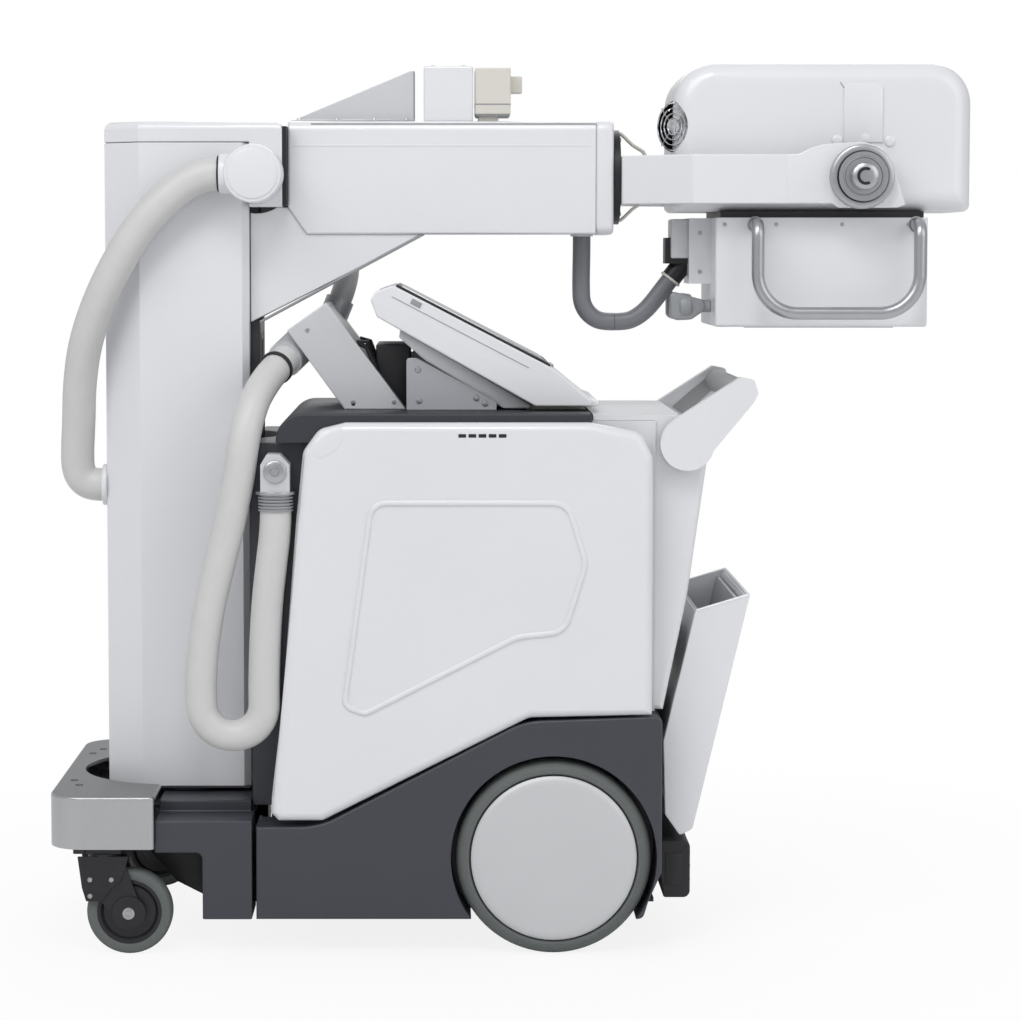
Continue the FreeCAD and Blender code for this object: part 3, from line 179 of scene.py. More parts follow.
class Paint(Graph):
    """A material with a Principled shader."""

    def __init__(self, name: str) -> None:
        """Start a material with its shader and output.

        Args:
            name: Name of the new material.
        """
        self.material = bpy.data.materials.new(name)
        super().__init__(self.material)
        self.shader = self.tree.nodes.new("ShaderNodeBsdfPrincipled")
        self.node("ShaderNodeOutputMaterial", None, {0: Wire(self, self.shader.outputs[0])})

    def set(self, **inputs: object) -> "Paint":
        """Feed shader inputs, with underscores for spaces in their names.

        Args:
            **inputs: Input name to a value or a wire.

        Returns:
            This paint.
        """
        for name, value in inputs.items():
            self.feed(self.shader.inputs[name.replace("_", " ")], value)
        return self

    def place(self, scale: Point = (1.0, 1.0, 1.0)) -> Wire:
        """Object coordinates, stretched."""
        where = self.node("ShaderNodeTexCoord", output="Object")
        return self.node("ShaderNodeMapping", None, {"Vector": where, "Scale": scale})

    def height(self) -> Wire:
        """Height in metres in the machine's frame."""
        where = self.node("ShaderNodeTexCoord", output="Object")
        return self.node("ShaderNodeSeparateXYZ", None, {0: where}, "Z")

    def noise(self, where: Wire, scale: float, detail: float = 3.0, rough: float = 0.5) -> Wire:
        """Noise from 0 to 1 at a scale in waves per metre."""
        return self.node("ShaderNodeTexNoise", None,
                         {"Vector": where, "Scale": scale, "Detail": detail, "Roughness": rough})

    def blend(self, factor: object, first: object, second: object) -> Wire:
        """Mix of two colours."""
        return self.node("ShaderNodeMix", {"data_type": "RGBA"}, {0: factor, 6: first, 7: second}, 2)

    def bump(self, height: Wire, distance: float, strength: float = 1.0) -> Wire:
        """Normal from a height of 0 to 1 and its depth in metres."""
        return self.node("ShaderNodeBump", None,
                         {"Height": height, "Distance": distance, "Strength": strength})


def shade(colour: Colour, factor: float) -> Colour:
    """Colour made darker or lighter by a factor."""
    return tuple(min(1.0, part * factor) for part in colour)


@dataclass(frozen=True)
class Moulding:
    """Painted or moulded plastic with a fine skin, a soft cloudiness and slightly dulled patches."""

    name: str
    colour: Colour
    roughness: float = 0.34
    coat: float = 0.25
    grain: float = 900.0
    grain_depth: float = 0.00004
    cloud: float = 0.03

    def make(self) -> bpy.types.Material:
        """Build the material.

        Returns:
            The new material.
        """
        paint = Paint(self.name)
        where = paint.place()
        drift = paint.noise(where, 5.0, 4.0)
        skin = paint.noise(where, self.grain, 2.0)
        smears = paint.noise(paint.place((1.0, 1.0, 0.35)), 22.0, 5.0, 0.6)
        paint.set(
            Base_Color=paint.blend(drift, shade(self.colour, 1.0 - self.cloud),
                                   shade(self.colour, 1.0 + self.cloud)),
            Roughness=self.roughness - 0.05 + smears * 0.10,
            Normal=paint.bump(skin, self.grain_depth, 0.35))
        paint.shader.inputs["Coat Weight"].default_value = self.coat
        paint.shader.inputs["Coat Roughness"].default_value = 0.12
        return paint.material


@dataclass(frozen=True)
class BrushedMetal:
    """Metal with fine lines along one direction, and painted shade darkening it above a set height."""

    name: str
    colour: Colour
    roughness: float = 0.36
    metallic: float = 1.0
    stretch: tuple[float, float, float] = (1.0, 0.02, 1.0)
    depth: float = 0.00003
    # Height in metres above which the colour is painted darker: painted shade on the top face.
    dark_above: float = 9.0

    def make(self) -> bpy.types.Material:
        """Build the material.

        Returns:
            The new material.
        """
        paint = Paint(self.name)
        lines = paint.noise(paint.place(self.stretch), 1400.0, 2.0, 0.7)
        cloud = paint.noise(paint.place(), 9.0, 3.0)
        paint.set(
            # Above the set height the colour drops to 0.55 of its value, which is painted shade on the
            # top face.
            Base_Color=paint.blend(paint.height().over(self.dark_above), paint.blend(
                lines * 0.6 + cloud * 0.4, shade(self.colour, 0.93), shade(self.colour, 1.06)),
                shade(self.colour, 0.55)),
            Roughness=self.roughness - 0.06 + lines * 0.12,
            Metallic=self.metallic,
            Normal=paint.bump(lines, self.depth, 0.4))
        return paint.material


@dataclass(frozen=True)
class Rubber:
    """Hose, tyre or pad: matt, faintly mottled, with a fine pebbled skin and scuffs."""

    name: str
    colour: Colour
    roughness: float = 0.55
    mottle: float = 0.06
    pebble: float = 1500.0
    depth: float = 0.00006
    scuff: float = 0.0

    def make(self) -> bpy.types.Material:
        """Build the material.

        Returns:
            The new material.
        """
        paint = Paint(self.name)
        where = paint.place()
        cloud = paint.noise(where, 28.0, 5.0, 0.6)
        pebbles = paint.noise(where, self.pebble, 2.0)
        colour = paint.blend(cloud, shade(self.colour, 1.0 - self.mottle),
                             shade(self.colour, 1.0 + self.mottle))
        if self.scuff:
            worn = paint.noise(paint.place((1.0, 3.0, 1.0)), 70.0, 6.0, 0.7).over(0.62)
            colour = paint.blend(worn * self.scuff, colour, shade(self.colour, 1.6))
        paint.set(Base_Color=colour, Roughness=self.roughness + cloud * 0.1,
                  Normal=paint.bump(pebbles, self.depth, 0.5))
        return paint.material


@dataclass(frozen=True)
class ScreenGlass:
    """Dark cover glass with faint wiping marks."""

    name: str
    colour: Colour

    def make(self) -> bpy.types.Material:
        """Build the material.

        Returns:
            The new material.
        """
        paint = Paint(self.name)
        wipes = paint.noise(paint.place((0.6, 3.0, 0.6)), 14.0, 5.0, 0.65)
        paint.set(Base_Color=paint.blend(wipes, self.colour, shade(self.colour, 1.5)),
                  Roughness=0.06 + wipes * 0.08)
        paint.shader.inputs["Coat Weight"].default_value = 1.0
        paint.shader.inputs["Coat Roughness"].default_value = 0.03
        return paint.material


Recipe = Moulding | BrushedMetal | Rubber | ScreenGlass


class Finishes:
    """Every finish of the machine, made once."""

    shell = Moulding("shell_enamel", (0.755, 0.76, 0.782), 0.3, 0.45)
    slate = Moulding("slate_moulding", (0.043, 0.046, 0.058), 0.42, 0.1, 1400.0, 0.00007, 0.06)
    deck = Moulding("deck_moulding", (0.030, 0.033, 0.041), 0.5, 0.0, 1400.0, 0.00007, 0.06)
    black = Moulding("black_plastic", (0.010, 0.010, 0.012), 0.45, 0.05, 1600.0, 0.00006, 0.1)
    cream = Moulding("cream_plastic", (0.66, 0.64, 0.58), 0.42, 0.1)
    grey_paint = Moulding("grey_paint", (0.30, 0.31, 0.325), 0.4, 0.1)
    mast = Moulding("mast_anodised", (0.045, 0.046, 0.05), 0.35, 0.1, 700.0, 0.00003, 0.08)
    silver = BrushedMetal("silver_trim", (0.50, 0.505, 0.52), 0.33)
    # The bumper's top plate, above 0.2337 m, gets painted shade and comes out darker than its sides.
    bumper = BrushedMetal("bumper_sheet", (0.50, 0.505, 0.51), 0.3, 0.9, (1.0, 1.0, 0.02),
                          0.00003, 0.2337)
    tube = BrushedMetal("handle_tube", (0.47, 0.48, 0.50), 0.34, 0.9, (1.0, 1.0, 1.0))
    guide = BrushedMetal("guide_sheet", (0.64, 0.65, 0.67), 0.42, 0.3, (1.0, 1.0, 0.03))
    bracket = Moulding("bracket_paint", (0.40, 0.412, 0.437), 0.42, 0.1)
    disc = BrushedMetal("wheel_cover", (0.62, 0.625, 0.635), 0.5, 0.35, (1.0, 1.0, 1.0), 0.00001)
    steel = BrushedMetal("screw_steel", (0.50, 0.50, 0.50), 0.3)
    chrome = BrushedMetal("bright_wire", (0.85, 0.86, 0.88), 0.12, 1.0, (1.0, 1.0, 1.0), 0.00001)
    hose = Rubber("hose_skin", (0.615, 0.612, 0.605), 0.36, 0.05, 700.0, 0.00005)
    lead = Rubber("lead_skin", (0.185, 0.193, 0.208), 0.34, 0.05)
    tyre = Rubber("tyre_rubber", (0.118, 0.130, 0.126), 0.62, 0.08, 900.0, 0.00009, 0.25)
    rubber = Rubber("black_rubber", (0.020, 0.020, 0.022), 0.6, 0.1, 900.0, 0.0001, 0.1)
    pad = Rubber("grip_pad", (0.36, 0.365, 0.37), 0.6, 0.04)
    glass = ScreenGlass("cover_glass", (0.012, 0.013, 0.016))

    _made: dict[str, bpy.types.Material] = {}

    @classmethod
    def get(cls, recipe: Recipe) -> bpy.types.Material:
        """Material of a recipe, built at its first use.

        Args:
            recipe: Recipe to look up.

        Returns:
            Its material, the same one at each call.
        """
        if recipe.name not in cls._made:
            cls._made[recipe.name] = recipe.make()
        return cls._made[recipe.name]


# Modelling


def linked(name: str, data: bpy.types.ID) -> bpy.types.Object:
    """New object in the scene.

    Args:
        name: Name of the object.
        data: Data-block that it holds.

    Returns:
        The new object.
    """
    made = bpy.data.objects.new(name, data)
    bpy.context.scene.collection.objects.link(made)
    return made


def _basis(direction: Vector) -> Matrix:
    """Rotation that takes +Z to a direction."""
    return direction.to_track_quat("Z", "Y").to_matrix().to_4x4()


class Piece:
    """One mesh under construction, in millimetres in the machine's frame."""

    def __init__(self, name: str) -> None:
        """Start an empty mesh."""
        self.name = name
        self.bm = bmesh.new()

    def _soften(self, verts: Iterable[bmesh.types.BMVert], width: float, segments: int,
                sharper: float = 30.0) -> None:
        """Bevel the sharp edges among some vertices.

        Args:
            verts: Vertices of the shape.
            width: Width of the bevel, none at 0.
            segments: Steps across the bevel.
            sharper: Angle in degrees above which an edge is sharp.
        """
        if width <= 0.0:
            return
        chosen = set(verts)
        edges = [edge for edge in self.bm.edges
                 if edge.verts[0] in chosen and edge.verts[1] in chosen
                 and len(edge.link_faces) == 2
                 and math.degrees(edge.calc_face_angle(0.0)) > sharper]
        bmesh.ops.bevel(self.bm, geom=edges, offset=width, segments=segments, profile=0.5,
                        affect="EDGES", material=-1, clamp_overlap=True)

    def box(self, low: Point, high: Point, soft: float = 1.0, segments: int = 2,
            turn: Optional[Matrix] = None) -> "Piece":
        """Add a box between two corners.

        Args:
            low: Lowest corner.
            high: Highest corner.
            soft: Bevel width on its edges.
            segments: Faces across each bevel.
            turn: Optional matrix applied to the finished box.

        Returns:
            This piece.
        """
        middle = (Vector(low) + Vector(high)) / 2
        size = Vector(high) - Vector(low)
        place = Matrix.Translation(middle) @ Matrix.Diagonal((*size, 1.0))
        made = bmesh.ops.create_cube(self.bm, size=1.0, matrix=place)["verts"]
        marked = self._others(made)
        self._soften(made, soft, segments)
        return self._placed(marked, turn)

    def _others(self, verts: Iterable[bmesh.types.BMVert]) -> set:
        """Vertices that stood before a shape was added."""
        fresh = set(verts)
        return {vert for vert in self.bm.verts if vert not in fresh}

    def _placed(self, before: set, turn: Optional[Matrix]) -> "Piece":
        """Apply a matrix to every vertex that wasn't there before.

        Args:
            before: Vertices that stood before.
            turn: Matrix to apply, or None.

        Returns:
            This piece.
        """
        if turn is not None:
            added = [vert for vert in self.bm.verts if vert not in before]
            bmesh.ops.transform(self.bm, matrix=turn, verts=added)
        return self

    def prism(self, outline: Outline, low: float, high: float,
              axis: Axis = Axis.Y, soft: float = 1.0, segments: int = 2) -> "Piece":
        """Extrude a closed outline.

        Args:
            outline: Corners as (x, z) for Axis.Y, (x, y) for Axis.Z and (y, z) for Axis.X.
            low: Start along the axis.
            high: End along the axis.
            axis: Axis that the outline is extruded along.
            soft: Bevel width.
            segments: Faces across each bevel.

        Returns:
            This piece.
        """
        lift = {Axis.Y: lambda a, b, c: (a, c, b), Axis.Z: lambda a, b, c: (a, b, c),
                Axis.X: lambda a, b, c: (c, a, b)}[axis]
        corners = [self.bm.verts.new(lift(a, b, low)) for a, b in outline]
        face = self.bm.faces.new(corners)
        moved = bmesh.ops.extrude_face_region(self.bm, geom=[face])["geom"]
        added = [item for item in moved if isinstance(item, bmesh.types.BMVert)]
        bmesh.ops.translate(self.bm, vec=axis.vector * (high - low), verts=added)
        whole = corners + added
        faces = {one for vert in whole for one in vert.link_faces}
        bmesh.ops.recalc_face_normals(self.bm, faces=list(faces))
        self._soften(whole, soft, segments)
        return self

    def turned(self, profile: Outline, centre: Point, direction: Vector | Axis,
               steps: int = 48) -> "Piece":
        """Spin a profile of (radius, height) round a line.

        Args:
            profile: Radius and height pairs; radius 0 closes an end.
            centre: Point of height 0 on the line.
            direction: Direction of growing height.
            steps: Faces round.

        Returns:
            This piece.
        """
        way = direction.vector if isinstance(direction, Axis) else Vector(direction).normalized()
        place = Matrix.Translation(Vector(centre)) @ _basis(way)
        line = [self.bm.verts.new(place @ Vector((radius, 0.0, height)))
                for radius, height in profile]
        edges = [self.bm.edges.new(pair) for pair in zip(line, line[1:])]
        bmesh.ops.spin(self.bm, geom=line + edges, cent=Vector(centre), axis=way,
                       angle=math.tau, steps=steps, use_merge=True)
        near = [vert for vert in self.bm.verts if any(edge.is_boundary for edge in vert.link_edges)
                or not vert.link_faces]
        bmesh.ops.remove_doubles(self.bm, verts=near, dist=1e-3)
        bmesh.ops.remove_doubles(self.bm, verts=self.bm.verts, dist=1e-4)
        return self

    def disc(self, centre: Point, direction: Vector | Axis, radius: float, thick: float,
             soft: float = 1.0, hole: float = 0.0, steps: int = 48) -> "Piece":
        """Round plate, ring or rod with softened rims.

        Args:
            centre: Middle of its first face.
            direction: Direction it grows in.
            radius: Outer radius.
            thick: Length along the direction.
            soft: Radius of the rims.
            hole: Radius of a through hole, or 0.
            steps: Faces round.

        Returns:
            This piece.
        """
        rim = [(radius - soft, 0.0), (radius - 0.29 * soft, 0.29 * soft), (radius, soft),
               (radius, thick - soft), (radius - 0.29 * soft, thick - 0.29 * soft),
               (radius - soft, thick)]
        if hole:
            inner = min(soft, 0.3 * (radius - hole))
            line = [(hole, inner), (hole + inner, 0.0), *rim, (hole + inner, thick),
                    (hole, thick - inner), (hole, inner)]
        else:
            line = [(0.0, 0.0), *rim, (0.0, thick)]
        return self.turned(line, centre, direction, steps)

    def screw(self, centre: Point, direction: Vector | Axis, radius: float = 4.0,
              proud: float = 1.8) -> "Piece":
        """Domed screw head with a hexagon socket.

        Args:
            centre: Middle of its seat.
            direction: Way that its head faces.
            radius: Radius of the head.
            proud: Height of the head.

        Returns:
            This piece.
        """
        line = [(0.0, proud * 0.35), (radius * 0.48, proud * 0.35), (radius * 0.5, proud),
                (radius * 0.8, proud * 0.85), (radius, proud * 0.3), (radius, -proud * 0.2),
                (0.0, -proud * 0.2)]
        return self.turned(line, centre, direction, 18)

    def side_screws(self, spots: Outline, half: float, radius: float, proud: float) -> "Piece":
        """Screws at (x, z) spots on both sides, half a width from the middle plane.

        Args:
            spots: Places (x, z) of the screws.
            half: Distance from the middle plane.
            radius: Radius of the heads.
            proud: Height of the heads.

        Returns:
            This piece.
        """
        for side in Side:
            for x, z in spots:
                self.screw((x, side.value * half, z), side.out, radius, proud)
        return self

    def side_plates(self, outline: Outline, inner: float, outer: float, soft: float = 1.0,
                    segments: int = 2) -> "Piece":
        """One (x, z) outline on both sides, between two distances from the middle plane.

        Args:
            outline: Closed (x, z) outline.
            inner: Nearer distance from the middle plane.
            outer: Farther distance from it.
            soft: Width of the edge bevel.
            segments: Steps across the bevel.

        Returns:
            This piece.
        """
        for side in Side:
            low, high = sorted((side.value * inner, side.value * outer))
            self.prism(outline, low, high, Axis.Y, soft, segments)
        return self

    def side_boxes(self, low: Point, high: Point, soft: float = 1.0,
                   segments: int = 2) -> "Piece":
        """The same box on both sides, given for the far one.

        Args:
            low: Lowest corner of the far box.
            high: Highest corner of the far box.
            soft: Width of the edge bevel.
            segments: Steps across the bevel.

        Returns:
            This piece.
        """
        for side in Side:
            near, far = sorted((side.value * low[1], side.value * high[1]))
            self.box((low[0], near, low[2]), (high[0], far, high[2]), soft, segments)
        return self

    def rod(self, points: Sequence[Point], radius: float, sides: int = 10) -> "Piece":
        """Round bar through points, mitred at each, with flat ends.

        Args:
            points: Centreline points.
            radius: Radius of the bar.
            sides: Faces round.

        Returns:
            This piece.
        """
        track = [Vector(point) for point in points]
        ring = None
        for index, point in enumerate(track):
            ahead = track[min(index + 1, len(track) - 1)] - track[max(index - 1, 0)]
            place = Matrix.Translation(point) @ _basis(ahead.normalized())
            made = bmesh.ops.create_circle(self.bm, cap_ends=index in (0, len(track) - 1),
                                           radius=radius, segments=sides, matrix=place)["verts"]
            edges = list({edge for vert in made for edge in vert.link_edges
                          if edge.verts[0] in made and edge.verts[1] in made})
            if ring is not None:
                bmesh.ops.bridge_loops(self.bm, edges=ring + edges)
            ring = edges
        return self

    def bead(self, corners: Corners, width: float, height: float, face: float,
             sign: float) -> "Piece":
        """Closed raised line on a flat side.

        Args:
            corners: Corners as (x, z, radius).
            width: Width at its foot.
            height: How far it stands out.
            face: Distance of the side from the machine's middle plane.
            sign: Sign of the side's Y.

        Returns:
            This piece.
        """
        track = rounded(corners)
        rings = []
        for index, (x, z) in enumerate(track):
            ahead, behind = track[(index + 1) % len(track)], track[index - 1]
            run = Vector((ahead[0] - behind[0], ahead[1] - behind[1])).normalized()
            side = Vector((run.y, -run.x))
            rings.append([self.bm.verts.new((x + side.x * width * across,
                                             sign * (face + height * out), z + side.y * width * across))
                          for across, out in ((-0.5, -0.1), (-0.34, 0.75), (-0.15, 1.0),
                                              (0.15, 1.0), (0.34, 0.75), (0.5, -0.1))])
        for index, ring in enumerate(rings):
            other = rings[(index + 1) % len(rings)]
            for first in range(6):
                second = (first + 1) % 6
                self.bm.faces.new((ring[first], ring[second], other[second], other[first]))
        return self

    def copy_of(self, node: str, dissolve: float = 1.5) -> "Piece":
        """Start from a merged copy of a CAD node's mesh, with its flat faces joined.

        Args:
            node: Name of the CAD node.
            dissolve: Angle in degrees under which faces join, none at 0.

        Returns:
            This piece.
        """
        self.bm.from_mesh(frame["nodes"][node].data)
        bmesh.ops.scale(self.bm, vec=(1000.0, 1000.0, 1000.0), verts=self.bm.verts)
        bmesh.ops.remove_doubles(self.bm, verts=self.bm.verts, dist=2e-3)
        if dissolve:
            bmesh.ops.dissolve_limit(self.bm, angle_limit=math.radians(dissolve),
                                     verts=self.bm.verts, edges=self.bm.edges)
        return self

    def add(self, other: "Piece") -> "Piece":
        """Add another piece's shapes.

        Args:
            other: Piece whose shapes are taken, and which is then spent.

        Returns:
            This piece.
        """
        mesh = bpy.data.meshes.new("part")
        other.bm.to_mesh(mesh)
        other.bm.free()
        self.bm.from_mesh(mesh)
        bpy.data.meshes.remove(mesh)
        return self

    def turn(self, matrix: Matrix) -> "Piece":
        """Move everything made so far."""
        bmesh.ops.transform(self.bm, matrix=matrix, verts=self.bm.verts)
        return self

    def mesh(self) -> bpy.types.Mesh:
        """Close the work and return it as a mesh in metres.

        Returns:
            The new mesh.
        """
        bmesh.ops.scale(self.bm, vec=(0.001, 0.001, 0.001), verts=self.bm.verts)
        mesh = bpy.data.meshes.new(self.name)
        self.bm.to_mesh(mesh)
        self.bm.free()
        return mesh

    def done(self, body: str, finish: Recipe, slot: str, replaces: Sequence[str] = (),
             sharp: float = 32.0, recalc: bool = True) -> bpy.types.Object:
        """Make the object, dress it and let it ride.

        Args:
            body: CAD body that it rides on.
            finish: Recipe of its material.
            slot: Not used.
            replaces: CAD nodes that it stands for.
            sharp: Angle above which an edge stays sharp, in degrees.
            recalc: Whether its normals are worked out again.

        Returns:
            The finished object.
        """
        if recalc:
            bmesh.ops.recalc_face_normals(self.bm, faces=self.bm.faces)
        mesh = self.mesh()
        mesh.shade_smooth()
        mesh.set_sharp_from_angle(angle=math.radians(sharp))
        mesh.materials.append(Finishes.get(finish))
        made = linked(self.name, mesh)
        if replaces:
            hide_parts(*replaces)
        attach(made, body)
        LOG.info("piece %s on %s", self.name, body)
        return made


def rounded(corners: Corners, steps: int = 7) -> list[tuple[float, float]]:
    """Points along a closed outline whose corners (a, b, radius) are turned into arcs.

    Args:
        corners: Corners (a, b, radius) in order.
        steps: Steps along each arc.

    Returns:
        Points (a, b) of the outline.
    """
    track = []
    for index, (a, b, radius) in enumerate(corners):
        corner = Vector((a, b))
        back = (Vector(corners[index - 1][:2]) - corner).normalized()
        ahead = (Vector(corners[(index + 1) % len(corners)][:2]) - corner).normalized()
        half = back.angle(ahead) / 2
        reach = radius / math.tan(half)
        middle = corner + (back + ahead).normalized() * (radius / math.sin(half))
        start = corner + back * reach - middle
        end = corner + ahead * reach - middle
        turn = math.copysign(math.pi - 2 * half, start.x * end.y - start.y * end.x)
        for step in range(steps + 1):
            track.append(tuple(middle + Matrix.Rotation(turn * step / steps, 2) @ start))
    return track


def body_of(node: str) -> str:
    """CAD body that a node belongs to."""
    return next(name for name, nodes in frame["record"]["behaviour"]["bodies"].items()
                if node in nodes)


def slot_of(node: str) -> str:
    """Material slot that the record gives a node."""
    return next(row["material_slot"] for row in frame["record"]["subparts"]
                if row["node"] == node)


def soften_later(made: bpy.types.Object, soft: float, segments: int, angle: float = 28.0) -> None:
    """Bevel a piece's sharp edges by some millimetres and keep its flat faces flat.

    Args:
        made: Object to soften.
        soft: Width of the bevel, none at 0.
        segments: Steps across the bevel.
        angle: Angle in degrees above which an edge is sharp.
    """
    if soft > 0.0:
        bevel = made.modifiers.new("edge_softness", "BEVEL")
        bevel.width = soft / 1000.0
        bevel.segments = segments
        bevel.limit_method = "ANGLE"
        bevel.angle_limit = math.radians(angle)
        bevel.use_clamp_overlap = True
    weighted = made.modifiers.new("even_faces", "WEIGHTED_NORMAL")
    weighted.keep_sharp = True


def refined(node: str, finish: Recipe, soft: float = 1.5, segments: int = 2,
            angle: float = 28.0, suffix: str = "skin") -> bpy.types.Object:
    """Stand a softened copy of a CAD node in its place.

    Args:
        node: CAD node.
        finish: Recipe of its material.
        soft: Bevel width on its sharp edges, in millimetres.
        segments: Faces across each bevel.
        angle: Edges sharper than this are bevelled.
        suffix: End of the piece's name.

    Returns:
        The new object.
    """
    made = Piece(f"{node}_{suffix}").copy_of(node).done(
        body_of(node), finish, slot_of(node), (node,), 40.0, recalc=False)
    soften_later(made, soft, segments, angle)
    return made


def dressed(node: str, finish: Recipe) -> None:
    """Give a CAD node that stays as it is a better material.

    Args:
        node: Name of the CAD node.
        finish: Recipe of its material.
    """
    data = frame["nodes"][node].data
    data.materials.clear()
    data.materials.append(Finishes.get(finish))


# The machine's pieces


@dataclass
class Base:
    """Slate base mouldings, bumpers and the parts on the frame."""

    plate_top: float = 233.6
    plate_screws: Outline = ((-654, 115), (-654, -115), (-642, 153), (-642, -153))
    caster_y: float = 222.0
    web: Outline = ((-453, 60), (-453, 150), (-560, 150), (-500, 84))
    strip_heights: tuple[float, ...] = (92.0, 112.0, 132.0)

    def build(self) -> None:
        """Soften the mouldings and add the small parts."""
        refined("base_cover", Finishes.slate, 2.0)
        refined("front_block", Finishes.slate, 2.0)
        refined("base_frame", Finishes.black, 1.0)
        refined("front_bumper", Finishes.bumper, 2.5, 3)
        refined("rear_bumper", Finishes.rubber, 3.0, 3)
        dressed("rear_axle", Finishes.steel)
        dressed("battery_pack", Finishes.black)
        dressed("generator", Finishes.grey_paint)
        dressed("drive_motors", Finishes.black)
        self._bumper()
        self._rear()

    def _bumper(self) -> None:
        """Sunk screws in the bumper's top plate and the brackets under it."""
        screws = Piece("bumper_screws")
        wells = Piece("bumper_wells")
        for x, y in self.plate_screws:
            wells.disc((x, y, self.plate_top), Axis.Z, 6.0, 0.8, 0.2, 3.2, 20)
            screws.screw((x, y, self.plate_top - 0.2), Axis.Z, 3.4, 0.9)
        wells.done("chassis", Finishes.black, "bumper_metal")
        screws.done("chassis", Finishes.steel, "bumper_metal")
        plates = Piece("caster_brackets")
        plates.side_boxes((-640, self.caster_y - 26, 150), (-623.5, self.caster_y + 26, 197), 1.5)
        plates.side_plates(self.web, 124, 128, 0.8)
        plates.done("chassis", Finishes.black, "dark_plastic")

    def _rear(self) -> None:
        """Raised strips of the rear bumper."""
        marks = Piece("rear_bumper_strips")
        for z in self.strip_heights:
            marks.box((260.5, -150, z - 3), (264.0, 150, z + 3), 1.4, 3)
        marks.side_boxes((225, 171, 88), (252, 173, 136), 1.0)
        marks.done("chassis", Finishes.rubber, "black_rubber")


